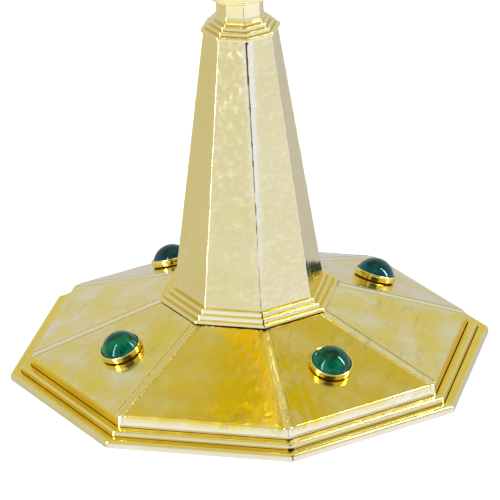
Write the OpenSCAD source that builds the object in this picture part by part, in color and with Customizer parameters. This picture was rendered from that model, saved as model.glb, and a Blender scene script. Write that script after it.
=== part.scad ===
// Octagonal monstrance: stepped foot with four cabochons, tapered hammered stem, knop,
// octagonal display frame with a sunburst, a pull-out glazed luna and a cross.
// Frame: origin at the centre of the resting face, +Z up, the display faces -Y.
// Radii of octagonal parts are measured to their corners unless a name says flat.

/* [Foot] */
// Radius of the bottom flange, centre to corner
foot_r = 100; // [98:0.5:101]
// Height of the foot's stepped rim
rim_h = 5.6; // [5.4:0.1:5.8]
// Distance from the axis to each stone on the foot
foot_stone_at = 61; // [55:0.5:66]
// Radius of a stone setting on the foot
foot_bezel_r = 8.8; // [7:0.1:9]
// How far a foot stone's dome stands above its setting
foot_dome_h = 5.6; // [3:0.1:6]

/* [Stem] */
// Radius of the stem at its lower end
stem_r0 = 30.8; // [30.5:0.1:31.2]
// Radius of the stem at its upper end
stem_r1 = 15.2; // [15:0.1:15.6]
// Length of the stem
stem_len = 111.2; // [105:0.1:118]

/* [Knop] */
// Largest radius of the knop's facets
knop_r = 32; // [30:0.5:34]
// Height of each half of the knop
knop_half_h = 16.2; // [14:0.2:18]
// Height of the band between the two halves
knop_band_h = 14; // [13.5:0.1:15]
// Length of the column above the knop
upper_stem_len = 46; // [40:1:60]

/* [Display] */
// Radius of the display frame, centre to corner
frame_r = 80; // [79.5:0.1:80.5]
// Radius of the bore that the luna slides into
bore_r = 44.3; // [44.2:0.05:44.4]
// Tip radius of the long rays
long_ray = 152; // [140:1:160]
// Tip radius of the rays in the middle of each side
middle_ray = 132; // [125:1:140]
// Height of the cross above its foot
cross_h = 68; // [60:1:80]

/* [Luna] */
// Outer radius of the luna's barrel
luna_r = 44; // [43.9:0.05:44.1]
// Outer radius of the lunette's crescents
crescent_r = 35; // [34:0.1:35]
// Thickness of the glass
glass_t = 2; // [1.5:0.1:2]

/* [Hidden] */

gold = [0.86, 0.72, 0.36];
gold_dark = [0.72, 0.58, 0.25];
green = [0.0, 0.35, 0.22];
glass_tint = [0.85, 0.93, 0.92, 0.35];
half = 22.5;                       // an octagon's corner lies this far from its flat
flat = cos(half);                  // flat distance over corner distance
round_fn = 96;
wall = 1.2;                        // sheet metal
eps = 0.01;

// Rim under the foot: flange, two ledges and the hollow inside
rim_bore = 86;
ledge_low = 3.1;
step_back = 4.6;
skirt_r = foot_r - 8.8;
foot_edge = 1;                       // rounding of the fold round the panels
// Foot shell: its panels fall away from a flat top
shell_top = 29.2;
panel_r1 = 37;
panel_fall = 0.35;                 // height lost for each mm of corner radius
panel_tilt = atan(panel_fall / flat);
shell_t = wall / cos(panel_tilt);  // the sheet, measured upright
// Mouldings made of three square steps
step_rise = 1.6;
moulding_h = 3 * step_rise;
nose = 0.55;
// Heights up the stand
stem_z = shell_top + moulding_h;
stem_top = stem_z + stem_len;
column_z = stem_top + moulding_h;
column_len = 10.2;
knop_collar_z = column_z + column_len;
knop_z = knop_collar_z + moulding_h;
band_z = knop_z + knop_half_h;
knop_top_z = band_z + knop_band_h;
knop_top = knop_top_z + knop_half_h;
upper_stem_z = knop_top + moulding_h;
socket_collar_z = upper_stem_z + upper_stem_len;
socket_z = socket_collar_z + moulding_h;
socket_h = 23.2;
display_z = socket_z + socket_h + frame_r * flat;
// Tie rod through the stand
rod_r = 4;
rod_hole = 4.3;
rod_foot = 15;
rod_top = socket_z + 14;
clamp_t = 2;
clamp_top = shell_top - shell_t;
washer_t = 1.6;
// Depths in the display, measured forward from its middle plane
spacer_back = -7;
flange_back = -4;
flange_front = -1;
mid_step = 1.6;
panel_front = 13;
spacer_r0 = 62;
spacer_r1 = 68;
frame_skirt = frame_r - 7.1;
frame_panel_r1 = 54.5;
frame_fall = 0.45;
frame_tilt = atan(frame_fall / flat);
frame_stone_at = 58.4;
frame_bezel_r = 5.2;
plate_back = -9;
window_r = 41.5;
sleeve_r = bore_r + 1.5;
screw_r = 1.25;
screw_hole = 1.3;
screw_at = 60.2;
tang_screw = [8, frame_r * flat - 5.4];
// Rays
ray_root = 69.5;
ray_step = 7.5;
socket_tang = 15.5;
cross_tang = 12;
tang_to = 10.6;
// Cross
cross_foot_h = 8;
cross_t = 6;
// Luna, in the same forward depths
barrel_back = -14;
barrel_front = panel_front - 0.3;
barrel_in = window_r;
flange_r = 49.5;
lid_front = -14.2;
lid_back = -17.2;
lid_r = 47;
hinge_x = -51.5;
hinge_depth = -14.2;
knuckle_r = 2.3;
pin_r = 1;
// Lunette
crescent_in = 29.5;
jaw_pivot = 36.4;
tenon_top = 38.3;
socket_floor = 41.2;
crescent_sweep = 68;               // half the angle that a crescent spans

// ---------- outlines and shared shapes ----------

function arc(c, r, a0, a1, n = 5) =
  [for (i = [0:n]) let (a = a0 + (a1 - a0) * i / n) c + r * [cos(a), sin(a)]];

// One square step with a rounded upper edge
function step_outline(r, z, rise) =
  [[r, z], each arc([r - nose, z + rise - nose], nose, 0, 90)];

// A stack of steps, one for each radius
function stack_outline(radii, z) =
  [for (i = [0:len(radii) - 1]) each step_outline(radii[i], z + i * step_rise, step_rise)];

// The same steps as a moulding that spreads upwards: read the radii from the top down
function under_stack(radii, z) = let (o = stack_outline(radii, 0))
  [for (i = [len(o) - 1:-1:0]) [o[i][0], z + moulding_h - o[i][1]]];

// A sheet-metal roof: upright skirt, rolled edge and panels that rise to a flat top
function roof_outline(z0, skirt, edge, r1, top, fall) =
  let (c = skirt - edge, tilt = atan(fall))
  [[0, z0], [skirt, z0],
    each arc([c, top - (c - r1) * fall - edge / cos(tilt)], edge, 0, 90 - tilt),
    [r1, top], [0, top]];

function roof_hollow(z0, skirt, r1, top, fall, sheet) =
  [[0, z0], [skirt, z0], [skirt, top - (skirt - r1) * fall - sheet], [r1, top - sheet],
    [0, top - sheet]];

// Turns an outline of corner radii and heights into an eight-sided solid, flats on the axes
module octagon(outline) {
  rotate([0, 0, half]) rotate_extrude($fn = 8) polygon(outline);
}

// Planes a narrow strip along each ridge of a roof
module ridge_cuts(r1, top, fall, depth) {
  for (a = [half:45:360]) rotate([0, 0, a]) translate([r1, 0, top])
    rotate([0, atan(fall), 0]) translate([-5, -10, -depth]) cube([80, 20, 5]);
}

module moulding(radii, z) {
  octagon([[0, z], each stack_outline(radii, z), [0, z + moulding_h]]);
}

module under_moulding(radii, z) {
  octagon([[0, z], each under_stack(radii, z), [0, z + moulding_h]]);
}

module drill(r, z0, z1) {
  translate([0, 0, z0]) cylinder(r = r, h = z1 - z0, $fn = 48);
}

module ring(r0, r1, z0, z1) {
  difference() {
    translate([0, 0, z0]) cylinder(r = r1, h = z1 - z0, $fn = round_fn);
    translate([0, 0, z0 - 1]) cylinder(r = r0, h = z1 - z0 + 2, $fn = round_fn);
  }
}

module rod_bored() {
  difference() {
    children();
    drill(rod_hole, 0, rod_top);
  }
}

// Stands local +Z on a sloping octagonal face
module on_roof(angle, at, r1, top, fall) {
  rotate([0, 0, angle]) translate([at, 0, top - (at / flat - r1) * fall])
    rotate([0, atan(fall / flat), 0]) children();
}

module on_foot_panel(angle) {
  on_roof(angle, foot_stone_at, panel_r1, shell_top, panel_fall) children();
}

// Turns local +Z to the front and local +Y up, about the middle of the display
module facing() {
  translate([0, 0, display_z]) rotate([90, 0, 0]) children();
}

module on_frame_panel(angle) {
  on_roof(angle, frame_stone_at, frame_panel_r1, panel_front, frame_fall) children();
}

// A cup on a narrow foot, with an optional threaded post below it
module bezel(r, h, post = 0) {
  foot_h = 0.45;
  floor_h = 1.3;
  difference() {
    union() {
      cylinder(r = r - 0.9, h = foot_h, $fn = 64);
      translate([0, 0, foot_h]) cylinder(r = r, h = h - foot_h, $fn = 64);
    }
    translate([0, 0, floor_h]) cylinder(r = r - 0.7, h = h, $fn = 64);
  }
  if (post > 0) translate([0, 0, -post]) cylinder(r = 1.5, h = post, $fn = 32);
}

// A round cabochon: a short drum under a spherical cap
module cabochon(r, h, dome) {
  floor_h = 1.3;
  stone_r = r - 0.75;
  ball = (stone_r * stone_r + dome * dome) / (2 * dome);
  translate([0, 0, floor_h]) cylinder(r = stone_r, h = h - floor_h, $fn = 64);
  intersection() {
    translate([0, 0, h + dome - ball]) sphere(r = ball, $fn = 64);
    translate([0, 0, h]) cylinder(r = stone_r, h = dome + 1, $fn = 64);
  }
}

foot_bezel_h = 2.9;
small_bezel_h = 2.2;
knop_bezel_r = 4.4;
cross_bezel_r = 4;

// ---------- foot ----------

module foot_rim() {
  color(gold) octagon([
    [rim_bore, 0], [foot_r, 0],
    each arc([foot_r - 1.4, ledge_low - 1.4], 1.4, 0, 90),
    [foot_r - step_back, ledge_low],
    each arc([foot_r - step_back - 1.1, rim_h - 1.1], 1.1, 0, 90),
    [rim_bore, rim_h]
  ]);
}

module foot_shell() {
  color(gold) difference() {
    octagon(roof_outline(rim_h, skirt_r, foot_edge, panel_r1, shell_top, panel_fall));
    ridge_cuts(panel_r1, shell_top, panel_fall, 0.28);
    octagon(roof_hollow(rim_h - 1, skirt_r - wall, panel_r1, shell_top, panel_fall, shell_t));
    translate([0, 0, shell_top - 5]) cylinder(r = 24, h = 10, $fn = 64);
    for (a = [45:90:315]) on_foot_panel(a)
      translate([0, 0, -5]) cylinder(r = 1.7, h = 10, $fn = 32);
  }
}

module clamp_plate() {
  color(gold_dark) rod_bored() octagon([
    [0, clamp_top - clamp_t], [31, clamp_top - clamp_t], [31, clamp_top], [22, clamp_top],
    [22, clamp_top + 0.8], [0, clamp_top + 0.8]
  ]);
}

module tie_rod() {
  color(gold_dark) drill(rod_r, rod_foot, rod_top);
}

module rod_washer() {
  top = clamp_top - clamp_t;
  color("silver") ring(rod_hole, 11, top - washer_t, top);
}

module rod_nut() {
  top = clamp_top - clamp_t - washer_t;
  color("silver") difference() {
    translate([0, 0, top - 6.4]) cylinder(r = 7.5, h = 6.4, $fn = 6);
    translate([0, 0, top - 7]) cylinder(r = rod_r + 0.05, h = 8, $fn = 48);
  }
}

foot_angles = [315, 45, 135, 225];

module foot_bezel(i) {
  color(gold_dark) on_foot_panel(foot_angles[i]) bezel(foot_bezel_r, foot_bezel_h, 6);
}

module foot_stone(i) {
  color(green) on_foot_panel(foot_angles[i]) cabochon(foot_bezel_r, foot_bezel_h, foot_dome_h);
}

module foot_bezel_nuts() {
  color("silver") for (a = foot_angles) on_foot_panel(a) difference() {
    translate([0, 0, -wall - 2.4]) cylinder(r = 3.2, h = 2.4, $fn = 6);
    translate([0, 0, -5]) cylinder(r = 1.55, h = 5, $fn = 32);
  }
}

// ---------- stem and knop ----------

module stem_collar() {
  color(gold) octagon([
    [25, shell_top], each stack_outline([37.7, 35.3, 32.9], shell_top),
    [28.4, stem_z], [28.4, stem_z + 2], [25, stem_z + 2]
  ]);
}

module stem_shell() {
  color(gold) octagon([
    [stem_r0, stem_z], [stem_r1, stem_top], [stem_r1 - 1.3, stem_top],
    [stem_r0 - 1.3, stem_z]
  ]);
}

module neck_collar() {
  spigot = stem_r1 - 1.8;
  color(gold) rod_bored() octagon([
    [0, stem_top - 4], [spigot, stem_top - 4], [spigot, stem_top],
    each stack_outline([16.2, 14.4, 12.6], stem_top), [0, column_z]
  ]);
}

module neck_column() {
  color(gold) rod_bored() octagon([
    [0, column_z], [10.8, column_z], [10.8, knop_collar_z], [0, knop_collar_z]
  ]);
}

module knop_lower_collar() {
  color(gold) rod_bored() under_moulding([18.4, 16.4, 14.4], knop_collar_z);
}

module knop_lower_shell() {
  color(gold) rod_bored() octagon([
    [0, knop_z], [18, knop_z], [knop_r, band_z], [knop_r - wall, band_z],
    [17.2, knop_z + wall], [0, knop_z + wall]
  ]);
}

module knop_upper_shell() {
  color(gold) rod_bored() octagon([
    [0, knop_top], [18, knop_top], [knop_r, knop_top_z], [knop_r - wall, knop_top_z],
    [17.2, knop_top - wall], [0, knop_top - wall]
  ]);
}

module knop_band() {
  bead = 2.4;
  r = knop_r + 2.4;
  color(gold) octagon([
    [knop_r - 3.4, band_z], [r - 0.6, band_z],
    each arc([r - 0.8, band_z + bead / 2], bead / 2 - 0.2, -80, 80),
    [knop_r + 1, band_z + bead], [knop_r + 1, knop_top_z - bead],
    each arc([r - 0.8, knop_top_z - bead / 2], bead / 2 - 0.2, -80, 80),
    [r - 0.6, knop_top_z], [knop_r - 3.4, knop_top_z]
  ]);
}

module on_knop() {
  for (a = foot_angles) rotate([0, 0, a])
    translate([(knop_r + 1) * flat, 0, band_z + knop_band_h / 2]) rotate([0, 90, 0]) children();
}

module knop_bezels() {
  color(gold_dark) on_knop() bezel(knop_bezel_r, small_bezel_h);
}

module knop_stones() {
  color(green) on_knop() cabochon(knop_bezel_r, small_bezel_h, 2.2);
}

module knop_upper_collar() {
  color(gold) rod_bored() moulding([18.4, 16.4, 14.4], knop_top);
}

module upper_stem() {
  color(gold) octagon([
    [12.4, upper_stem_z], [17.8, socket_collar_z], [16.5, socket_collar_z],
    [11.1, upper_stem_z]
  ]);
}

module socket_collar() {
  color(gold) rod_bored() under_moulding([23.2, 21.2, 19.2], socket_collar_z);
}

module display_socket() {
  saddle_z = socket_z + socket_h;
  color(gold) difference() {
    union() {
      hull() {
        octagon([[0, socket_z], [21, socket_z], [21, socket_z + 4], [0, socket_z + 4]]);
        translate([-19, -1, saddle_z - 3]) cube([38, 12, 3]);
      }
      translate([-socket_tang, -flange_back, saddle_z - eps])
        cube([2 * socket_tang, flange_back - spacer_back, tang_to + eps]);
    }
    drill(rod_hole, socket_z - 1, rod_top);
    facing() tang_screw_places(-1) screw_hole(plate_back - 1, flange_front);
  }
}

// ---------- display frame ----------

module screw_hole(z0, z1) {
  translate([0, 0, z0]) cylinder(r = screw_hole, h = z1 - z0, $fn = 32);
}

module frame_screw_places() {
  for (a = [0:45:315]) if (a % 180 != 90) rotate([0, 0, a]) translate([screw_at, 0, 0])
    children();
}

// Below the display's centre for side -1, where the socket is; above it for side 1
module tang_screw_places(side) {
  for (x = [-1, 1]) translate([x * tang_screw[0], side * tang_screw[1], 0]) children();
}

module frame_rim() {
  color(gold) facing() difference() {
    octagon([
      [spacer_r0, spacer_back], [spacer_r1, spacer_back], [spacer_r1, flange_back],
      [frame_r, flange_back],
      each arc([frame_r - 1.3, flange_front - 1.3], 1.3, 0, 90),
      [frame_r - 3.6, flange_front],
      each arc([frame_r - 4.7, mid_step - 1.1], 1.1, 0, 90),
      [spacer_r0, mid_step]
    ]);
    frame_screw_places() screw_hole(spacer_back - 1, flange_front);
    for (side = [-1, 1]) tang_screw_places(side) screw_hole(spacer_back - 1, flange_front - 1);
  }
}

module frame_panel() {
  color(gold) facing() difference() {
    octagon(roof_outline(mid_step, frame_skirt, 1.3, frame_panel_r1, panel_front, frame_fall));
    ridge_cuts(frame_panel_r1, panel_front, frame_fall, 0.2);
    octagon(roof_hollow(mid_step - 1, frame_skirt - wall, frame_panel_r1, panel_front,
      frame_fall, wall / cos(frame_tilt)));
    translate([0, 0, 5]) cylinder(r = sleeve_r + 0.2, h = 20, $fn = round_fn);
  }
}

module frame_collar() {
  color(gold) facing() difference() {
    octagon([[0, panel_front], each stack_outline([53.9, 51.5, 49.1], panel_front),
      [0, panel_front + moulding_h]]);
    translate([0, 0, 5]) cylinder(r = window_r, h = 20, $fn = round_fn);
  }
}

module frame_sleeve() {
  color(gold_dark) facing() ring(bore_r, sleeve_r, plate_back, panel_front);
}

module back_plate() {
  color(gold) facing() difference() {
    octagon([[0, plate_back], [frame_r, plate_back], [frame_r, spacer_back], [0, spacer_back]]);
    translate([0, 0, -20]) cylinder(r = sleeve_r + 0.2, h = 20, $fn = round_fn);
    frame_screw_places() screw_hole(plate_back - 1, spacer_back + 1);
    for (side = [-1, 1]) tang_screw_places(side) screw_hole(plate_back - 1, spacer_back + 1);
  }
}

frame_angles = [45, 135, 225, 315];

module frame_bezels() {
  color(gold_dark) facing() for (a = frame_angles) on_frame_panel(a)
    bezel(frame_bezel_r, small_bezel_h);
}

module frame_stones() {
  color(green) facing() for (a = frame_angles) on_frame_panel(a)
    cabochon(frame_bezel_r, small_bezel_h, 3);
}

// A pan-head screw that comes in from the back
module back_screw(tip) {
  translate([0, 0, plate_back - 1.8]) difference() {
    cylinder(r = 2.4, h = 1.8, $fn = 32);
    translate([-3, -0.35, -1]) cube([6, 0.7, 1.9]);
  }
  translate([0, 0, plate_back]) cylinder(r = screw_r, h = tip - plate_back, $fn = 32);
}

module frame_screws() {
  color("silver") facing() frame_screw_places() back_screw(flange_front - 0.3);
}

module tang_screws() {
  color("silver") facing() for (side = [-1, 1]) tang_screw_places(side)
    back_screw(flange_front - 1.3);
}

// ---------- sunburst ----------

// A lance blade along local +X, clamped between the frame and the back plate
module ray(tip, half_w) {
  neck = half_w * 0.66;
  shoulder = ray_root + (tip - ray_root) * 0.34;
  translate([0, 0, spacer_back]) linear_extrude(flange_back - spacer_back)
    polygon([[ray_root, -neck], [shoulder, -half_w], [tip, 0], [shoulder, half_w],
      [ray_root, neck]]);
}

module rays_at(angles, tip, half_w) {
  color(gold) facing() for (a = angles) rotate([0, 0, a]) ray(tip, half_w);
}

module long_rays() {
  rays_at([for (a = [half:45:360]) a], long_ray, 4.6);
}

module middle_rays() {
  rays_at([for (a = [0:45:315]) if (a % 180 != 90) a], middle_ray, 4.2);
}

// Rays between the long and the middle ones, in two lengths, left out at the socket and cross
module side_rays() {
  sides = [for (a = [0:45:315], s = [-1, 1]) [a, s]];
  rays_at([for (p = sides) if (p[0] != 270 && p[0] != 90) p[0] + p[1] * ray_step],
    middle_ray - 22, 3.4);
  rays_at([for (p = sides) if (p[0] != 270) p[0] + p[1] * 2 * ray_step],
    middle_ray - 10, 3.6);
}

// ---------- cross ----------

cross_z = display_z + frame_r * flat;
cross_y = -(spacer_back + flange_back) / 2;

module cross_foot() {
  color(gold) difference() {
    union() {
      translate([-cross_tang, -flange_back, cross_z - tang_to])
        cube([2 * cross_tang, flange_back - spacer_back, tang_to + 1]);
      for (i = [0:2]) let (w = 13.6 - 2.6 * i, d = 6 - 0.9 * i)
        translate([-w, cross_y - d, cross_z]) cube([2 * w, 2 * d, (i + 1) * cross_foot_h / 3]);
    }
    facing() tang_screw_places(1) screw_hole(plate_back - 1, flange_front);
  }
}

// One arm of the cross, flared towards its end, along local +Y
module cross_arm(len) {
  polygon([[-3.6, 0], [3.6, 0], [3.9, len * 0.45], [6.6, len], [-6.6, len], [-3.9, len * 0.45]]);
}

module cross() {
  arm = 21;
  middle = cross_h - arm - 2;
  color(gold) translate([0, cross_y + cross_t / 2, cross_z + cross_foot_h + middle])
    rotate([90, 0, 0]) linear_extrude(cross_t) union() {
      for (a = [0, 90, 270]) rotate([0, 0, a]) cross_arm(arm + 2);
      rotate([0, 0, 180]) cross_arm(middle);
      square(7.2, center = true);
    }
}

module on_cross() {
  translate([0, cross_y - cross_t / 2, cross_z + cross_foot_h + cross_h - 23]) rotate([90, 0, 0])
    children();
}

module cross_bezel() {
  color(gold_dark) on_cross() bezel(cross_bezel_r, small_bezel_h);
}

module cross_stone() {
  color(green) on_cross() cabochon(cross_bezel_r, small_bezel_h, 2.2);
}

// ---------- luna ----------

module knuckle(z0, z1) {
  translate([hinge_x, -hinge_depth, display_z + z0]) difference() {
    cylinder(r = knuckle_r, h = z1 - z0, $fn = 32);
    translate([0, 0, -1]) cylinder(r = pin_r + 0.05, h = z1 - z0 + 2, $fn = 32);
  }
}

// Luna barrel: tube with a glass seat in front, a stop flange behind and two hinge knuckles
module luna_barrel() {
  arm_d = 1.9;
  color(gold) {
    facing() {
      ring(barrel_in, luna_r, barrel_back, barrel_front - 1.5);
      ring(39, luna_r, barrel_front - 1.5, barrel_front);
      ring(luna_r - eps, flange_r, -12, -9.3);
    }
    for (z = [-9.5, 4.5]) difference() {
      union() {
        knuckle(z, z + 5);
        translate([hinge_x, -hinge_depth - 2.3, display_z + z]) cube([5, arm_d, 5]);
      }
      translate([hinge_x, -hinge_depth, display_z + z - 1])
        cylinder(r = pin_r + 0.05, h = 7, $fn = 32);
    }
  }
}

module front_glass() {
  color(glass_tint) facing() translate([0, 0, barrel_front - 1.5 - glass_t])
    cylinder(r = barrel_in - 0.2, h = glass_t, $fn = round_fn);
}

module front_glass_ring() {
  back = barrel_front - 1.5 - glass_t;
  color(gold_dark) facing() ring(39, barrel_in - 0.1, back - 1.6, back);
}

// Block at the bottom of the barrel, with the slot that holds the lunette's tenon
module lunette_socket() {
  color(gold_dark) facing() difference() {
    intersection() {
      translate([-6, -socket_floor - 2, -5]) cube([12, socket_floor + 2 - tenon_top, 10]);
      translate([0, 0, -6]) cylinder(r = barrel_in, h = 12, $fn = round_fn);
    }
    translate([-3.3, -socket_floor + 0.4, -1.5]) cube([6.6, 5, 3]);
  }
}

// Lug and knob below the stop flange, for drawing the luna out
module luna_pull() {
  knob_y = -53.6;
  color(gold) facing() {
    difference() {
      translate([-6, knob_y - 3.4, -12]) cube([12, 10, 2.2]);
      translate([0, 0, -13]) cylinder(r = flange_r, h = 5, $fn = round_fn);
    }
    translate([0, knob_y, -14.6]) cylinder(r = 1.8, h = 2.7, $fn = 32);
    translate([0, knob_y, -18.4]) cylinder(r = 3.2, h = 3.8, $fn = 48);
  }
}

module lid_hinge_pin() {
  color("silver") translate([hinge_x, -hinge_depth, display_z]) {
    translate([0, 0, -10]) cylinder(r = pin_r, h = 20, $fn = 32);
    for (z = [-10.5, 9.5]) translate([0, 0, z]) cylinder(r = 1.7, h = 1, $fn = 32);
  }
}

module lid_frame() {
  color(gold) {
    facing() {
      ring(38.5, lid_r, lid_front - 1.4, lid_front);
      ring(42, lid_r, lid_back - 1.2, lid_front - 1.4);
    }
    difference() {
      union() {
        knuckle(-4, 4);
        translate([hinge_x, -lid_front, display_z - 4]) cube([5.6, 2.1, 8]);
      }
      translate([hinge_x, -hinge_depth, display_z - 5])
        cylinder(r = pin_r + 0.05, h = 10, $fn = 32);
    }
  }
}

module rear_glass() {
  color(glass_tint) facing() translate([0, 0, lid_front - 1.4 - glass_t + 0.4])
    cylinder(r = 41.8, h = glass_t - 0.4, $fn = round_fn);
}

module lid_glass_ring() {
  back = lid_front - 1.4 - glass_t + 0.4;
  color(gold_dark) facing() ring(39, 41.9, back - 1.2, back);
}

module lid_tab() {
  color(gold) translate([lid_r - 0.4, -lid_front, display_z]) difference() {
    translate([0, 0, -5]) cube([8, 2, 10]);
    translate([-lid_r + 0.4, 5, 0]) rotate([90, 0, 0])
      cylinder(r = lid_r, h = 10, $fn = round_fn);
  }
}

// ---------- lunette ----------

// Half of the clip: a crescent open upwards, between two depths
module crescent(z0, z1) {
  difference() {
    translate([0, 0, z0]) cylinder(r = crescent_r, h = z1 - z0, $fn = round_fn);
    translate([0, 0, z0 - 1]) cylinder(r = crescent_in, h = z1 - z0 + 2, $fn = round_fn);
    for (s = [-1, 1]) rotate([0, 0, -90 + s * (90 + crescent_sweep)])
      translate([-1, s > 0 ? 0 : -100, z0 - 1]) cube([100, 100, z1 - z0 + 2]);
    translate([-100, -crescent_r * cos(crescent_sweep), z0 - 1])
      cube([200, 200, z1 - z0 + 2]);
  }
}

// Front crescent, fixed to the foot whose tenon drops into the socket
module lunette_crescent() {
  color(gold) facing() difference() {
    union() {
      crescent(0.7, 2);
      translate([-5, -tenon_top, 0.2]) cube([10, tenon_top - 34.2, 1.8]);
      translate([-5, -tenon_top, -1.1]) cube([10, 0.3, 3.1]);
      translate([-3, -socket_floor + 0.6, -1.1]) cube([6, socket_floor - 0.6 - tenon_top + eps, 2.4]);
      for (x = [-4.9, 2.9]) translate([x, -jaw_pivot, -1.4]) rotate([0, 90, 0])
        cylinder(r = 1.3, h = 2, $fn = 24);
      for (x = [-4.9, 2.9]) translate([x, -jaw_pivot - 1.3, -1.4]) cube([2, 2.6, 2]);
    }
    translate([-6, -jaw_pivot, -1.4]) rotate([0, 90, 0]) cylinder(r = 0.75, h = 12, $fn = 24);
  }
}

module jaw_pin() {
  color("silver") facing() translate([-5.2, -jaw_pivot, -1.4]) rotate([0, 90, 0])
    cylinder(r = 0.7, h = 10.4, $fn = 24);
}

// Rear crescent, which tips back to take the host
module lunette_jaw() {
  color(gold) facing() difference() {
    union() {
      crescent(-2, -0.7);
      translate([-2.6, -jaw_pivot, -2]) cube([5.2, 3, 1.3]);
      translate([-2.6, -jaw_pivot, -1.4]) rotate([0, 90, 0])
        cylinder(r = 1.3, h = 5.2, $fn = 24);
    }
    translate([-6, -jaw_pivot, -1.4]) rotate([0, 90, 0]) cylinder(r = 0.75, h = 12, $fn = 24);
  }
}

// ---------- nodes ----------

foot_rim();
foot_shell();
clamp_plate();
tie_rod();
rod_washer();
rod_nut();
stem_collar();
stem_shell();
neck_collar();
neck_column();
knop_lower_collar();
knop_lower_shell();
knop_band();
knop_upper_shell();
knop_upper_collar();
upper_stem();
socket_collar();
display_socket();
foot_bezel(0);  // foot_bezel_front_right
foot_bezel(1);  // foot_bezel_rear_right
foot_bezel(2);  // foot_bezel_rear_left
foot_bezel(3);  // foot_bezel_front_left
foot_stone(0);  // foot_stone_front_right
foot_stone(1);  // foot_stone_rear_right
foot_stone(2);  // foot_stone_rear_left
foot_stone(3);  // foot_stone_front_left
foot_bezel_nuts();
knop_bezels();
knop_stones();
frame_rim();
frame_panel();
frame_collar();
frame_sleeve();
back_plate();
frame_bezels();
frame_stones();
frame_screws();
tang_screws();
long_rays();
middle_rays();
side_rays();
cross_foot();
cross();
cross_bezel();
cross_stone();
luna_barrel();
front_glass();
front_glass_ring();
lunette_socket();
luna_pull();
lid_hinge_pin();
lid_frame();
rear_glass();
lid_glass_ring();
lid_tab();
lunette_crescent();
jaw_pin();
lunette_jaw();
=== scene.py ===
import math

import bpy
import numpy as np
from mathutils import Matrix, Vector


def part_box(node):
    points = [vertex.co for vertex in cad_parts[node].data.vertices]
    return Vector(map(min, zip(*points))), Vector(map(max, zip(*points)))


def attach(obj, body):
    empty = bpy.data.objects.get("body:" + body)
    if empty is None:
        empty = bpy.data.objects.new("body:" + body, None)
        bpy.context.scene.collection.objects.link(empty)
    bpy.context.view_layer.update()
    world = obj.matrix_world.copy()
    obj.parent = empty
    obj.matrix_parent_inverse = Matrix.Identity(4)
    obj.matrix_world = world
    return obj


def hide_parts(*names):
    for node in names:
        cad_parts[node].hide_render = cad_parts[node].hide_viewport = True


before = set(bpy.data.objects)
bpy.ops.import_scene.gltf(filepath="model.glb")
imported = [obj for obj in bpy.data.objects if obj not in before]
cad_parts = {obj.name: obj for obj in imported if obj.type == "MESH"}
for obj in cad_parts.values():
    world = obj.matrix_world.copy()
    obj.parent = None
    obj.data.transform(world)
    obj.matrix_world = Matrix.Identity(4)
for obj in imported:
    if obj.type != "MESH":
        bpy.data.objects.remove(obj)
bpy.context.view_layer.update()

# Lengths are millimetres and angles degrees until add_mesh() writes metres.
MM = 0.001
HALF = math.radians(22.5)
FLAT = math.cos(HALF)              # an octagon's flat distance over its corner distance


def box(node):
    low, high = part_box(node)
    return np.array(low) / MM, np.array(high) / MM


def low_z(node):
    return float(box(node)[0][2])


def top_z(node):
    return float(box(node)[1][2])


def corner_r(node):
    """Corner radius of an octagonal node, from its flats."""
    return float(box(node)[1][0]) / FLAT


# ---------------------------------------------------------------- sizes

FOOT_R, RIM_H = corner_r("foot_rim"), top_z("foot_rim")
SHELL_R, SHELL_TOP = corner_r("foot_shell"), top_z("foot_shell")
STEM_Z, STEM_TOP = low_z("stem_shell"), top_z("stem_shell")
STEM_R = corner_r("stem_shell")
STEM_R_TOP = 15.2
STEP = (STEM_Z - SHELL_TOP) / 3    # height of one step of a three-step moulding
PANEL_R = 37                       # where the foot's panels meet its flat top
PANEL_FALL = 0.35                  # height lost for each mm of corner radius
LEDGE_H, FOOT_EDGE = 3.1, 1.0      # the rim's lower ledge, and the fold round the panels
ROD_HOLE_R = 4.4                   # clearance hole for the tie rod
STONE_AT = 61                      # flat distance of the foot's stones
BEZEL_R, BEZEL_H, DOME_H = 8.8, 2.9, 5.6
KNOP_STONE_R, FRAME_STONE_R, CROSS_STONE_R = 4.4, 5.2, 4
SMALL_H, SMALL_DOME, FRAME_DOME = 2.2, 2.2, 3.0    # the settings above the foot, and their domes
LIP = 0.95                         # a setting's radius over its small stone's
DISPLAY_Z = (low_z("frame_rim") + top_z("frame_rim")) / 2
FRAME_R = corner_r("frame_rim")
SKIRT_R = corner_r("frame_panel")
FRONT = float(-box("frame_collar")[0][1]) - 3 * STEP    # depth of the frame's flat ring
FRAME_PANEL_R, FRAME_FALL, FRAME_STONE_AT = 54.5, 0.45, 58.4
MID_STEP, FLANGE_FRONT, FLANGE_BACK, PLATE_FRONT, PLATE_BACK = 1.6, -1, -4, -7, -9
WINDOW_R, BORE_R, SLEEVE_R = 41.5, 44.3, 45.8
BARREL_FRONT, BARREL_BACK = FRONT - 0.3, -14
HINGE_X, HINGE_Y = -51.5, 14.2
CORNERS = (315, 45, 135, 225)      # the panels that carry stones
RAY_ROOT = 69.5                    # where the rays start, inside the frame


# ---------------------------------------------------------------- gathering a mesh

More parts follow.
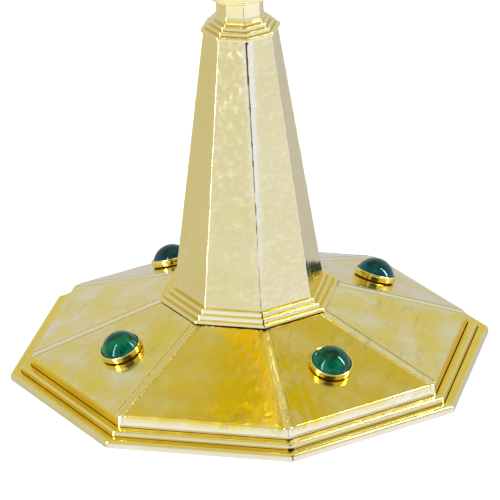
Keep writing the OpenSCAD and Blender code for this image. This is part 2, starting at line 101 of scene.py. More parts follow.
class Shape:
    """Vertices and faces in millimetres, with a material number for each face.
    A fourth number in a vertex says how rubbing and painted light tint it: 0 in a hollow, 1 on a crest."""

    def __init__(self, part=None, place=None):
        self.verts, self.faces, self.mats, self.wear, self.count = [], [], [], [], 0
        if part:
            self.add(part, place)

    def add(self, part, place=None, mats=0):
        """Adds (verts, faces) or (verts, faces, mats), put in its place."""
        verts, faces, *own = part
        mats = own[0] if own else mats
        verts = np.asarray(verts, float)
        self.wear.append(verts[:, 3] if verts.shape[1] == 4 else np.full(len(verts), 0.5))
        verts = verts[:, :3] if place is None else place(verts[:, :3])
        self.verts.append(verts)
        self.faces += [tuple(i + self.count for i in f) for f in faces]
        self.mats += [mats] * len(faces) if isinstance(mats, int) else list(mats)
        self.count += len(verts)
        return self


def add_mesh(name, shape, node, slot, materials=None, body="stand", sharp=32):
    """Makes the detailed piece that replaces a CAD node."""
    data = bpy.data.meshes.new(name)
    data.from_pydata((np.concatenate(shape.verts) * MM).tolist(), [], shape.faces)
    for material in materials or LOOKS[slot]:
        data.materials.append(material)
    data.polygons.foreach_set("material_index", shape.mats)
    wear = data.attributes.new("wear", "FLOAT", "POINT")
    wear.data.foreach_set("value", np.clip(np.concatenate(shape.wear), 0, 1).astype(np.float32))
    data.shade_smooth()
    data.set_sharp_from_angle(angle=math.radians(sharp))
    piece = bpy.data.objects.new(name, data)
    bpy.context.scene.collection.objects.link(piece)
    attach(piece, body)
    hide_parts(node)


# ---------------------------------------------------------------- outlines

def arc(r, z, radius, start, end, n=4):
    angles = np.radians(np.linspace(start, end, n + 1))
    return [(r + radius * math.cos(a), z + radius * math.sin(a)) for a in angles]


def refined(points, step):
    """The outline with its long stretches cut into pieces of about one step."""
    out = [points[0]]
    for a, b in zip(points, points[1:]):
        n = max(1, round(math.dist(a[:2], b[:2]) / step))
        out += [tuple(a[i] + (b[i] - a[i]) * k / n for i in (0, 1)) + tuple(b[2:]) for k in range(1, n + 1)]
    return out


def stack(radii, z, lean=0.0):
    """Steps with rounded noses, each leaning back a little where asked, and a fine joint line."""
    nose = 0.55
    out = []
    for i, r in enumerate(radii):
        foot, top = z + i * STEP, z + i * STEP + STEP
        out += [(r, foot + 0.12)] + arc(r - nose - lean, top - nose, nose, 0, 90)
        if i + 1 < len(radii):
            inner = radii[i + 1]
            out += [(inner + 0.3, top), (inner + 0.05, top - 0.22)]
    return out


def flipped(points, z0, z1):
    """The outline upside down between the same two heights."""
    return [(p[0], z0 + z1 - p[1]) for p in reversed(points)]


# ---------------------------------------------------------------- surfaces

def wrap_faces(rows, cols, close):
    """Quads of a grid whose columns run round; row after row runs along the outline."""
    out = []
    for r in range(rows if close else rows - 1):
        a, b = r * cols, ((r + 1) % rows) * cols
        out += [(a + c, a + (c + 1) % cols, b + (c + 1) % cols, b + c) for c in range(cols)]
    return out


def loft_faces(rows, cols):
    """Quads between closed rows, with the first and the last row capped."""
    count = rows * cols
    return wrap_faces(rows, cols, False) + [tuple(reversed(range(cols))), tuple(range(count - cols, count))]


def octagon(outline, across=5, near=(0, 0.25, 0.5), fillet=0.9, shift=None, dark=None, close=True):
    """An eight-sided ring from an outline of (corner radius, height), outside upwards.
    shift(side, x, s, d) returns the lift, or the lift and the surface's rubbing and painted light and shade.
    A third number in a point makes that row round. near holds distances from each corner that
    need a column; dark(side, s, d, radius, z, upright) picks materials."""
    q = np.array([p[0] for p in outline]) * FLAT
    z = np.array([p[1] for p in outline], float)
    rnd = np.array([len(p) > 2 for p in outline])
    dq, dz = np.gradient(q), np.gradient(z)
    size = np.hypot(dq, dz)
    nq, nz = dz / size, -dq / size
    s = np.concatenate([[0], np.cumsum(np.hypot(np.diff(q), np.diff(z)))])
    side_half = q * math.tan(HALF)
    reach = near[-1]
    cut = fillet * math.tan(HALF)
    blocks, sides, dists = [], [], []
    for side in range(8):
        n = np.array([math.cos(side * 2 * HALF), math.sin(side * 2 * HALF)])
        t = np.array([-n[1], n[0]])
        xs = [-side_half + d for d in near]
        xs += [(2 * f - 1) * (side_half - reach) for f in (np.arange(1, across) / across)]
        xs += [side_half - d for d in reversed(near[1:])]
        x = np.stack(xs, 1)
        d = side_half[:, None] - np.abs(x)
        lift = shift(side, x, s[:, None] + 0 * x, d) if shift else 0 * x
        lift, wear = lift if isinstance(lift, tuple) else (lift, 0.5 + 0 * x)
        flat = q[:, None] + lift * nq[:, None]
        p = np.stack([flat * n[0] + x * t[0], flat * n[1] + x * t[1], z[:, None] + lift * nz[:, None]], 2)
        before, after = [(math.cos(k * HALF), math.sin(k * HALF)) for k in (2 * side - 1, 2 * side + 1)]
        corner = np.where(x[..., None] < 0, before, after)
        inward = fillet * (1 / FLAT - 1) * np.clip(1 - d / cut, 0, 1) ** 2
        p[..., :2] -= corner * inward[..., None]
        angle = np.arctan2(p[..., 1], p[..., 0])
        circle = np.stack([np.cos(angle), np.sin(angle)], 2) * (q / FLAT)[:, None, None]
        p[rnd, :, :2] = circle[rnd]
        blocks.append(np.concatenate([p, wear[..., None]], 2))
        sides += [side] * x.shape[1]
        dists.append(d)
    verts = np.concatenate(blocks, 1)
    rows, cols = verts.shape[:2]
    faces = wrap_faces(rows, cols, close)
    mats = 0
    if dark:
        d = np.concatenate(dists, 1)
        d = np.minimum(d, np.roll(d, -1, 1))
        after = np.roll(np.stack([q, z], 1), -1, 0) - np.stack([q, z], 1)
        upright = np.abs(after[:, 1]) / np.hypot(*after.T)
        mark = dark(np.array(sides)[None, :] + 0 * d, s[:, None] + 0 * d, d, q[:, None] / FLAT + 0 * d,
                    z[:, None] + 0 * d, upright[:, None] + 0 * d)
        mats = mark.astype(int)[: rows if close else rows - 1].ravel().tolist()
    return verts.reshape(-1, 4), faces, mats


def lathe(outline, segments=96, start=0, sweep=360, ripple=None):
    """A round ring or disc from an outline of (radius, height), outside upwards."""
    full = sweep == 360
    count = segments if full else segments + 1
    angles = np.radians(start + sweep * np.arange(count) / segments)
    r = np.array([p[0] for p in outline], float)[:, None] + 0 * angles[None, :]
    if ripple:
        r = r + ripple(r, angles[None, :])
    z = np.array([p[1] for p in outline], float)[:, None] + 0 * angles[None, :]
    verts = np.stack([r * np.cos(angles), r * np.sin(angles), z], 2).reshape(-1, 3)
    faces = []
    hollow = outline[0][0] > 0 or outline[-1][0] > 0
    rows = len(outline)
    for i in range(rows if hollow else rows - 1):
        a, b = i * count, ((i + 1) % rows) * count
        for c in range(segments):
            e = (c + 1) % count
            f = (a + c, a + e, b + e, b + c)
            if outline[i][0] == 0:
                f = (a, b + e, b + c)
            elif outline[(i + 1) % rows][0] == 0:
                f = (a + c, a + e, b)
            faces.append(f)
    if not full:
        faces += [tuple(i * count for i in range(rows))]
        faces += [tuple(i * count + segments for i in reversed(range(rows)))]
    return verts, faces


def prism(outline, z0, z1, edge=0.4):
    """A plate with a flat outline and chamfered edges."""
    p = np.array(outline, float)
    ahead, behind = np.roll(p, -1, 0) - p, p - np.roll(p, 1, 0)
    ahead /= np.linalg.norm(ahead, axis=1)[:, None]
    behind /= np.linalg.norm(behind, axis=1)[:, None]
    n1, n2 = np.stack([behind[:, 1], -behind[:, 0]], 1), np.stack([ahead[:, 1], -ahead[:, 0]], 1)
    mitre = (n1 + n2) / (1 + (n1 * n2).sum(1))[:, None]
    inner = p - mitre * edge
    mid = p - mitre * edge * 0.3
    rings = [(inner, z0), (mid, z0 + edge * 0.3), (p, z0 + edge)]
    rings += [(p, z1 - edge), (mid, z1 - edge * 0.3), (inner, z1)]
    verts = np.concatenate([np.column_stack([q, np.full(len(q), z)]) for q, z in rings])
    return verts, loft_faces(len(rings), len(p))


def block(low, high, edge=0.3):
    (x0, y0, z0), (x1, y1, z1) = low, high
    return prism([(x0, y0), (x1, y0), (x1, y1), (x0, y1)], z0, z1, edge)


# ---------------------------------------------------------------- places

def turn(axis, angle, move=(0, 0, 0), then=None):
    """A placement: turn about an axis, then move, then apply another placement."""
    m = np.array(Matrix.Rotation(math.radians(angle), 3, axis))
    move = np.array(move, float)

    def place(v):
        v = v @ m.T + move
        return then(v) if then else v
    return place


def moved(x=0, y=0, z=0, then=None):
    return turn("Z", 0, (x, y, z), then)


def facing(v):
    """From the display's own axes (right, up, forward) to the object's."""
    return np.stack([v[:, 0], -v[:, 2], v[:, 1] + DISPLAY_Z], 1)


def on_roof(angle, at, r1, top, fall, then=None):
    """On the middle of a sloping panel, at a distance from the axis and square to the slope."""
    height = top - (at / FLAT - r1) * fall
    return turn("Y", math.degrees(math.atan(fall / FLAT)), (at, 0, height), turn("Z", angle, (0, 0, 0), then))


def on_foot(angle):
    return on_roof(angle, STONE_AT, PANEL_R, SHELL_TOP, PANEL_FALL)


def on_frame(angle):
    return on_roof(angle, FRAME_STONE_AT, FRAME_PANEL_R, FRONT, FRAME_FALL, facing)


# ---------------------------------------------------------------- hand work

def dents(x, y, seed, pitch, bowl, soften=0.006):
    """Height of a hammered surface: shallow bowls round scattered centres, ridges between."""
    rng = np.random.default_rng(seed)
    size = 64
    jitter = rng.uniform(-0.45, 0.45, (size, size, 2))
    reach = rng.uniform(0.6, 1.5, (size, size))
    cx, cy = np.floor(x / pitch).astype(int), np.floor(y / pitch).astype(int)
    total = np.zeros_like(x)
    for i in (-1, 0, 1):
        for j in (-1, 0, 1):
            a, b = (cx + i) % size, (cy + j) % size
            dx = (cx + i + 0.5 + jitter[a, b, 0]) * pitch - x
            dy = (cy + j + 0.5 + jitter[a, b, 1]) * pitch - y
            total += np.exp(-(dx * dx + dy * dy) / (2 * bowl * reach[a, b]) / soften)
    return -soften * np.log(total)


def crests(field):
    """0 in the hollows of a hammered surface to 1 on its crests."""
    low, high = np.percentile(field, (15, 97))
    return np.clip((field - low) / (high - low), 0, 1)


def waves(x, y, seed, pitch):
    """A smooth random surface of about unit height."""
    rng = np.random.default_rng(seed)
    out = np.zeros_like(x)
    for _ in range(7):
        k = 2 * math.pi / pitch * rng.uniform(0.5, 1.4)
        a = rng.uniform(0, 2 * math.pi)
        phase = rng.uniform(0, 6.28)
        out += np.sin(k * (x * math.cos(a) + y * math.sin(a)) + phase)
    return out / 3.5


def ramp(value, start, end):
    """A smooth rise from 0 at start to 1 at end."""
    t = np.clip((value - start) / (end - start), 0, 1)
    return t * t * (3 - 2 * t)


def uneven(amount, seed, pitch, apart=90):
    """A shift for octagon(): the slight waviness of a hand-filed moulding."""
    return lambda side, x, s, d: amount * waves(x + apart * side, s, seed, pitch)


def hammering(amount, pitch, bowl):
    """Dents for ridged() of one size."""
    return lambda x, s, seed: amount * dents(x, s, seed, pitch, bowl, 0.008)


def beside_strip(strip):
    """The columns that octagon() needs beside a ridge with a planed strip."""
    return 0, 0.4, strip - 0.2, strip, strip + 0.2, strip + 0.6


# ---------------------------------------------------------------- materials

def set_inputs(tree, node, inputs):
    """Sets each input to a value, or links it where the value is another node's output."""
    for name, value in inputs.items():
        if isinstance(value, bpy.types.NodeSocket):
            tree.links.new(value, node.inputs[name])
        else:
            node.inputs[name].default_value = value


def add_node(tree, kind, inputs=None, **settings):
    node = tree.nodes.new(kind)
    for name, value in settings.items():
        setattr(node, name, value)
    set_inputs(tree, node, inputs or {})
    return node


def new_material(name):
    mat = bpy.data.materials.new(name)
    mat.use_nodes = True
    tree = mat.node_tree
    return mat, tree, tree.nodes["Principled BSDF"]


def noise(tree, coords, scale, detail=3.0, stretch=None, rough=0.5):
    if stretch:
        coords = add_node(tree, "ShaderNodeMapping", {"Vector": coords, "Scale": stretch}).outputs[0]
    inputs = {"Vector": coords, "Scale": scale, "Detail": detail, "Roughness": rough}
    return add_node(tree, "ShaderNodeTexNoise", inputs).outputs[0]


def remap(tree, value, a, b, c=0.0, d=1.0):
    """Maps a to b onto c to d, and stays within them."""
    inputs = {"Value": value, "From Min": a, "From Max": b, "To Min": c, "To Max": d}
    return add_node(tree, "ShaderNodeMapRange", inputs).outputs[0]


def calculate(tree, operation, a, b):
    return add_node(tree, "ShaderNodeMath", {0: a, 1: b}, operation=operation).outputs[0]


def mix_colour(tree, factor, a, b):
    node = add_node(tree, "ShaderNodeMix", data_type="RGBA")
    node.inputs[0].default_value = 0.5
    tree.links.new(factor, node.inputs[0])
    for socket, value in ((node.inputs[6], a), (node.inputs[7], b)):
        if isinstance(value, bpy.types.NodeSocket):
            tree.links.new(value, socket)
        else:
            socket.default_value = (*value, 1)
    return node.outputs[2]


def finish_metal(tree, shader, colour, gloss, height, strength, distance):
    """Joins a metal's colour, roughness and fine relief to its shader."""
    bump = add_node(tree, "ShaderNodeBump", {"Height": height, "Strength": strength, "Distance": distance})
    set_inputs(tree, shader, {"Base Color": colour, "Roughness": gloss})
    set_inputs(tree, shader, {"Normal": bump.outputs[0], "Metallic": 1.0})


def gilt(name, light, deep, rough, stroke_reflection=0.0, dimple=0.0, scratch=0.25, crest=None, hollow=None):
    """Polished gilt: drifting tone, fine rubbing scratches, and dark strokes where asked, painted reflections
    of the dark in planishing dents.
    crest and hollow tint what hammering left proud and sunk: rubbing, with painted highlight on the crests
    and painted shade in the hollows."""
    mat, tree, shader = new_material(name)
    coords = add_node(tree, "ShaderNodeTexCoord").outputs["Object"]
    tone = remap(tree, noise(tree, coords, 45, 4), 0.35, 0.68)
    colour = mix_colour(tree, tone, light, deep)
    if crest:
        # Painted light: the hollow colour is painted shade and the crest colour a painted highlight, mixed
        # with rubbing.
        wear = add_node(tree, "ShaderNodeAttribute", attribute_name="wear").outputs["Fac"]
        colour = mix_colour(tree, remap(tree, wear, 0.5, 0.0), colour, hollow)
        colour = mix_colour(tree, remap(tree, wear, 0.5, 1.0), colour, crest)
    gloss = remap(tree, noise(tree, coords, 260, 5), 0.3, 0.75, rough * 0.65, rough * 1.5)
    fine = noise(tree, coords, 900, 2, (1.0, 1.0, 0.12))
    height = calculate(tree, "MULTIPLY", fine, scratch)
    if dimple:
        inputs = {"Vector": coords, "Scale": 520.0, "Smoothness": 0.35}
        cells = add_node(tree, "ShaderNodeTexVoronoi", inputs, feature="SMOOTH_F1").outputs["Distance"]
        height = calculate(tree, "ADD", height, calculate(tree, "MULTIPLY", cells, dimple))
    # Painted reflection: dark olive strokes where planishing dents reflect the dark.
    if stroke_reflection:
        strokes = noise(tree, coords, 380, 2, (1.0, 0.20, 1.0), 0.5)
        patches = remap(tree, noise(tree, coords, 34, 2), 0.50, 0.62)
        dark = remap(tree, strokes, 0.52, 0.72, 0.0, stroke_reflection)
        colour = mix_colour(tree, calculate(tree, "MULTIPLY", dark, patches), colour, (0.50, 0.43, 0.12))
    finish_metal(tree, shader, colour, gloss, height, 0.35, 0.00006)
    return mat


def steel(name):
    mat, tree, shader = new_material(name)
    coords = add_node(tree, "ShaderNodeTexCoord").outputs["Object"]
    tone = noise(tree, coords, 320, 4)
    colour = mix_colour(tree, tone, (0.62, 0.61, 0.58), (0.44, 0.43, 0.41))
    gloss = remap(tree, noise(tree, coords, 900, 3), 0.3, 0.7, 0.22, 0.42)
    finish_metal(tree, shader, colour, gloss, tone, 0.2, 0.00005)
    return mat


def joint_and_shade_line(name):
    """Dark for the joint between two soldered or stacked pieces, and painted shade in gaps and grooves."""
    mat, tree, shader = new_material(name)
    coords = add_node(tree, "ShaderNodeTexCoord").outputs["Object"]
    tone = noise(tree, coords, 500, 3)
    colour = mix_colour(tree, tone, (0.014, 0.006, 0.003), (0.05, 0.025, 0.006))
    set_inputs(tree, shader, {"Base Color": colour, "Roughness": 0.8, "Specular IOR Level": 0.05})
    return mat


def cabochon_glass(name, heart, veil, edge):
    """Deep tinted glass with veils, over a dark heart, with a painted refraction tint towards its rim."""
    mat, tree, shader = new_material(name)
    coords = add_node(tree, "ShaderNodeTexCoord").outputs["Object"]
    veils = remap(tree, noise(tree, coords, 240, 4, (1.0, 1.0, 0.7), 0.6), 0.40, 0.62)
    body = mix_colour(tree, veils, heart, veil)
    # Painted refraction: the edge colour grows where the dome is seen edge-on.
    rim = add_node(tree, "ShaderNodeLayerWeight", {"Blend": 0.35}).outputs["Facing"]
    colour = mix_colour(tree, remap(tree, rim, 0.35, 0.9, 0.0, 0.7), body, edge)
    set_inputs(tree, shader, {"Base Color": colour, "Roughness": 0.03, "IOR": 1.5})
    set_inputs(tree, shader, {"Specular IOR Level": 0.15, "Specular Tint": (0.42, 0.92, 0.80, 1)})
    set_inputs(tree, shader, {"Transmission Weight": 0.78})
    return mat


def clear_glass(name):
    mat, tree, shader = new_material(name)
    coords = add_node(tree, "ShaderNodeTexCoord").outputs["Object"]
    smear = remap(tree, noise(tree, coords, 60, 3), 0.3, 0.75, 0.01, 0.045)
    set_inputs(tree, shader, {"Base Color": (0.93, 0.97, 0.95, 1), "Roughness": smear, "IOR": 1.5})
    set_inputs(tree, shader, {"Transmission Weight": 1.0})
    return mat


# crest and hollow paint highlight on hammered crests and shade in hollows, along with rubbing.
PLANISHED = gilt("planished_gilt", (0.82, 0.71, 0.35), (0.82, 0.66, 0.18), 0.17, stroke_reflection=0.45, scratch=0.6,
                 crest=(0.87, 0.79, 0.50), hollow=(0.84, 0.64, 0.02))
FRAME_FACE = gilt("frame_gilt", (0.82, 0.71, 0.35), (0.82, 0.67, 0.22), 0.15, stroke_reflection=0.3, scratch=0.6,
                  crest=(0.86, 0.77, 0.44), hollow=(0.80, 0.67, 0.26))
HAMMERED = gilt("hammered_gilt", (0.83, 0.72, 0.33), (0.80, 0.68, 0.28), 0.13, dimple=0.5,
                crest=(0.90, 0.82, 0.50), hollow=(0.76, 0.62, 0.20))
SMOOTHED = gilt("smoothed_gilt", (0.80, 0.69, 0.30), (0.77, 0.65, 0.26), 0.12, dimple=0.2,
                crest=(0.93, 0.86, 0.55), hollow=(0.74, 0.62, 0.24))
SEAM = gilt("seam_gilt", (0.34, 0.28, 0.05), (0.20, 0.16, 0.02), 0.35)
# Painted shade in the scribed lines.
SCRIBE_SHADE = gilt("scribe_shade_gilt", (0.55, 0.45, 0.14), (0.45, 0.34, 0.08), 0.30)
# Painted light: lit copies of the moulding gilt for one face of the stem collar.
PAINTED_LIT = gilt("painted_lit_gilt", (0.98, 0.92, 0.66), (0.97, 0.88, 0.52), 0.08)
PAINTED_HIGHLIGHT = gilt("painted_highlight_gilt", (0.98, 0.84, 0.36), (0.95, 0.80, 0.28), 0.10)
# Painted shade: a darker gilt for the rim's lower edge, standing for the shadowed table it reflects.
FLANGE_SHADE = gilt("flange_shade_gilt", (0.74, 0.66, 0.38), (0.70, 0.60, 0.32), 0.12)
MOULDING = gilt("moulding_gilt", (0.83, 0.72, 0.34), (0.81, 0.68, 0.27), 0.08)
# Painted reflection: the saturated deep gold of gold reflecting gold, in recesses and on skirts and risers.
GOLD_REFLECTION = gilt("gold_reflection_gilt", (0.88, 0.66, 0.06), (0.82, 0.58, 0.04), 0.16)
SETTING = gilt("setting_gilt", (0.92, 0.73, 0.16), (0.87, 0.65, 0.08), 0.09)
PLAIN = gilt("plain_gilt", (0.80, 0.64, 0.18), (0.77, 0.60, 0.14), 0.06)
RAYS = gilt("ray_gilt", (0.82, 0.70, 0.31), (0.78, 0.65, 0.25), 0.11, scratch=0.6)
SATIN = gilt("satin_gilt", (0.76, 0.64, 0.30), (0.71, 0.58, 0.24), 0.30, scratch=0.8)
STEEL = steel("bright_steel")
FOIL = gilt("stone_foil", (0.72, 0.80, 0.78), (0.50, 0.60, 0.58), 0.35)
JOINT_AND_SHADE = joint_and_shade_line("joint_and_shade_line")
EMERALD = cabochon_glass("emerald_glass", (0.0, 0.045, 0.02), (0.0, 0.25, 0.14), (0.0, 0.36, 0.27))
TEAL = cabochon_glass("teal_glass", (0.0, 0.035, 0.05), (0.0, 0.15, 0.19), (0.0, 0.20, 0.26))
GLASS = clear_glass("window_glass")
SETTING_SET = [SETTING, JOINT_AND_SHADE, STEEL, FOIL, MOULDING]
LOOKS = {"moulding_gilt": [MOULDING], "plain_gilt": [PLAIN], "hammered_gilt": [HAMMERED], "ray_gilt": [RAYS],
         "satin_gilt": [SATIN], "steel": [STEEL], "clear_glass": [GLASS], "green_stone": [EMERALD]}


# ---------------------------------------------------------------- foot

def x_of(side):
    """-1 in the first half of each face's columns, 1 in the second."""
    per_side = side.shape[1] // 8
    column = np.arange(side.shape[1])[None, :] % per_side
    return np.sign(column + 0.5 - per_side / 2) + 0 * side


def at_seam(side):
    """True in the half faces either side of the corner where the stem and its collar are joined."""
    return (side == 7) & (x_of(side) < 0) | (side == 6) & (x_of(side) > 0)


SKIRT_RUN = 4.4                    # length of the foot shell's outline below its panels


def front_faces(side):
    """The two faces that the seam's ridge divides, at the front. On the foot, the other faces' recesses and
    skirt carry the painted deep-gold reflection.
    """
    return (side == 6) | (side == 7)


def foot_rim():
    r = FOOT_R
    ledge, back = LEDGE_H, r - 4.6
    bore = 86
    outline = [(bore, 0), (r - 0.4, 0)] + arc(r - 0.4, 0.4, 0.4, -90, 0, 3)
    outline += arc(r - 1.4, ledge - 1.4, 1.4, 0, 90, 8)
    outline += [(back + 1.4, ledge), (back + 0.9, ledge), (back + 0.3, ledge)]
    outline += [(back + 0.25, ledge - 0.3), (back, ledge - 0.3)]
    outline += [(back, ledge + 0.1), (back - 0.08, ledge + 0.7)]
    outline += arc(back - 1.28, RIM_H - 1.1, 1.1, 0, 90, 6)
    outline += [(SHELL_R + out, RIM_H) for out in (1.0, 0.75, 0.35)]
    outline += [(SHELL_R + 0.3, RIM_H - 0.4), (SHELL_R - 0.8, RIM_H - 0.4)]
    outline += [(SHELL_R - 0.8, RIM_H), (bore, RIM_H)]

    def groove(side, s, d, radius, z, upright):
        # Joint lines with painted shade in the hairline grooves and in the mitre at the seam.
        low = (z < ledge) & (z > ledge - 0.4) & (radius < back + 0.36) & (radius > back - 0.1)
        high = (z < RIM_H) & (z > RIM_H - 0.45) & (radius < SHELL_R + 0.36)
        tread = (radius < back + 1.1) & (z < ledge + 0.6) | (radius < SHELL_R + 0.8)
        inner = (side == 6) & ((radius < back + 1.6) | (radius > r - 1.6)) | tread
        shaded = ~front_faces(side)
        # Painted reflection: deep gold on the recessed treads, and on the treads and risers of the faces away
        # from the front.
        recess = (z > 1) & ((upright < 0.2) & (inner | shaded) | (upright > 0.9) & shaded)
        # Painted shade along the rim's lower edge.
        foot = (z < 1.65) & (radius > r - 1)
        recess_end = (radius < back + 1.6) & (z < ledge + 0.65) & (z > ledge - 0.5) | (radius < SHELL_R + 1.2)
        mitre = at_seam(side) & (d < 1.0) & recess_end
        return np.where(low | high | mitre, 1, np.where(recess & (radius < r - 1), 2, np.where(foot, 3, 0)))

    near, hand = (0, 0.3, 0.6, 0.9, 1.3), uneven(0.02, 11, 40, 200)
    s = Shape(octagon(refined(outline, 2.5), across=14, fillet=2.2, near=near, shift=hand, dark=groove))
    add_mesh("foot_rim_moulded", s, "foot_rim", "moulding_gilt", [MOULDING, JOINT_AND_SHADE, GOLD_REFLECTION, FLANGE_SHADE])


def roof(z0, skirt, edge, r1, top, fall, inner_r, sheet, step, lean=0.0):
    """Outline of a raised shell: leaning skirt, rolled edge, panels, flat top, and underside."""
    tilt = math.atan(fall)
    c = skirt - edge - lean
    out = [(skirt - 0.9, z0), (skirt, z0 + 0.1), (skirt - 0.4 * lean, z0 + 1.2)]
    out += arc(c, top - (c - r1) * fall - edge / math.cos(tilt), edge, 0, 90 - math.degrees(tilt), 5)
    out = out[:-1] + refined([out[-1], (r1, top)], step)
    under = sheet / math.cos(tilt)
    out += [(inner_r, top), (inner_r, top - under), (r1, top - under)]
    out += [(skirt - sheet, top - (skirt - r1) * fall - under), (skirt - sheet - 0.1, z0)]
    return out


def ridged(strip, lower, bowls, seed, line=0.4, depth=0.2, start=0.0, deeper=None):
    """Surface of a ridged roof: planed strip along each ridge, a scribed line beside it, dents between.
    start is where the roof begins along the outline; deeper(side, x, s) says where the roof is tinted deep
    gold. The tint paints highlight on the planed strip and the crests, and shade in the scribed line and the
    hollows."""
    def shift(side, x, s, d):
        groove = np.clip(1 - np.abs(d - strip) / line, 0, 1)
        open_field = ramp(d, strip + line, strip + 2.5)
        field = bowls(x + 137.0 * side, s, seed)
        # Painted highlight on the crests and painted shade in the hollows, with rubbing.
        rub_shade_tint = 0.5 + 0.5 * (crests(field) - 0.5) * open_field
        if deeper:
            rub_shade_tint *= 1 - deeper(side, x, s) * ramp(d, strip, strip + 1)
        # Painted highlight on the planed strip and painted shade in the scribed line.
        rub_shade_tint += 0.5 * ramp(strip - line - d, 0, 0.5) - 0.5 * groove
        on_roof = ramp(s, start - 0.4, start + 0.4)
        lift = open_field * field * ramp(s, start, start + 3)
        lift = lift - np.clip(strip - d, 0, None) * lower - depth * groove
        return on_roof * lift, 1 + on_roof * (rub_shade_tint - 1)
    return shift


def foot_shell():
    outline = roof(RIM_H, SHELL_R, FOOT_EDGE, PANEL_R, SHELL_TOP, PANEL_FALL, 24, 1.2, 0.75, 0.3)
    strip = 2.1

    def bowls(x, s, seed):
        rippled = ramp(waves(x, s, seed + 3, 34), -0.1, 0.7)
        return (0.6 * dents(x, s * 0.7, seed, 5.0, 90, 0.008) + 0.05 * waves(x, s, seed, 21)
                + 0.014 * rippled * waves(0.45 * x - 0.8 * s, 0.25 * s + 0.1 * x, seed + 4, 2.6))

    def deep_tint(side, x, s):
        cloud = 0.15 * ramp(waves(x + 83 * side, s, 17, 30), 0.1, 1.0)
        # Deep-gold patches beside the ridge between sides 6 and 7.
        by_ridge = np.where(side == 6, ramp(x, -7, 6), np.where(side == 7, ramp(-x, 6, 20), 0))
        patchy = ramp(waves(1.5 * x, s, 19, 7) + 1.3 * waves(x, s, 23, 26), -1.2, 0.7)
        return np.maximum(cloud, by_ridge * patchy)

    def gap(side, s, d, radius, z, upright):
        # Joint line with painted shade where the shell sits on the rim.
        joint = (radius > SHELL_R - 0.95) & (z < RIM_H + 0.05)
        # Painted reflection: deep gold on the skirt of the faces away from the front.
        skirt = (upright > 0.9) & (radius > SHELL_R - 1) & (z < RIM_H + 3) & ~front_faces(side)
        # Painted shade in the left half of the scribed line, and the painted deep-gold reflection in its
        # right half.
        scribed = (np.abs(d - strip - 0.1) < 0.15) & (s > SKIRT_RUN) & (radius > PANEL_R)
        return np.where(joint, 1, np.where(skirt, 2, np.where(scribed, 3 + (x_of(side) > 0), 0)))

    shift = ridged(strip, math.tan(math.radians(7.8)), bowls, 3, start=SKIRT_RUN, deeper=deep_tint)
    near = (0, 0.4, 1.1, strip - 0.4, strip, strip + 0.4, strip + 0.8, strip + 1.4)
    s = Shape(octagon(outline, across=80, near=near, fillet=0.9, shift=shift, dark=gap))
    looks = [PLANISHED, JOINT_AND_SHADE, GOLD_REFLECTION, SCRIBE_SHADE, GOLD_REFLECTION]
    add_mesh("foot_shell_raised", s, "foot_shell", "planished_gilt", looks, sharp=40)


def cup(r, h, foot_r, floor=1.3):
    """Outline of a setting: shadow gap, slightly swelling band, edge rubbed over the stone."""
    out = [(0, 0), (foot_r, 0), (foot_r, 0.45), (r - 0.25, 0.5), (r - 0.05, 0.75)]
    out += [(r, h * 0.45), (r - 0.04, h - 0.55)] + arc(r - 0.45, h - 0.1, 0.4, 0, 150, 6)
    return out + [(r - 0.95, h - 0.35), (r - 0.95, floor), (0, floor)]


def dome(r, h, height, n=14):
    """Outline of a round cabochon from its drum to the top of its cap."""
    ball = (r * r + height * height) / (2 * height)
    edge = math.degrees(math.acos(min(1, r / ball))) if height < ball else 0
    return [(0, 1.32), (r - 0.3, 1.32), (r, 1.6), (r, h - 0.15)] + \
        arc(0, h + height - ball, ball, edge, 88, n) + [(0, h + height)]


def setting(shape, place, r, h, post=0.0):
    """A cup for a stone. Its materials are band, dark joint with painted shade in the bottom gap and inside
    the lip, threaded post, foil, and rubbed lip.
    """
    verts, faces = lathe(cup(r, h, r - 0.9), 80)

    def part(face):
        z = [verts[i][2] for i in face]
        # Painted shade in the gap at the foot of the band.
        if max(z) < 0.47:
            return 1
        # Painted shade on the inner wall just under the lip, round the stone.
        if 1.2 < min(z) and max(np.hypot(*verts[i][:2]) for i in face) < r - 0.78:
            return 1 if max(z) > h - 0.5 else 3
        return 4 if min(z) > h - 0.15 else 0

    shape.add((verts, faces, [part(f) for f in faces]), place)
    if post:
        pitch, half = 0.3, 1.5
        thread = [(half - 0.18 * (i % 2), 0.5 - post + pitch * i) for i in range(int((post - 0.9) / pitch))]
        outline = [(0, -post), (1.2, -post), (half, 0.3 - post)] + thread + [(half, 0), (0, 0)]
        shape.add(lathe(outline, 24), place, 2)


def small_stones(group, places, r, height):
    """Settings of one size with their cabochons; each set is one piece."""
    settings, stones = Shape(), Shape()
    for place in places:
        setting(settings, place, r, SMALL_H)
        stones.add(lathe(dome(r - LIP, SMALL_H, height), 56), place)
    add_mesh(group + "_settings", settings, group + "_bezels", "plain_gilt", SETTING_SET)
    add_mesh(group + "_cabochons", stones, group + "_stones", "green_stone")


def foot_stones():
    for angle, where in zip(CORNERS, ("front_right", "rear_right", "rear_left", "front_left")):
        place = on_foot(angle)
        s = Shape()
        setting(s, place, BEZEL_R, BEZEL_H, 6)
        add_mesh("foot_setting_" + where, s, "foot_bezel_" + where, "plain_gilt", SETTING_SET)
        s = Shape(lathe(dome(BEZEL_R - 1.0, BEZEL_H, DOME_H, 22), 80), place)
        glass = TEAL if where.startswith("rear") else EMERALD
        add_mesh("foot_cabochon_" + where, s, "foot_stone_" + where, "green_stone", [glass])


# ---------------------------------------------------------------- stem, knop and column

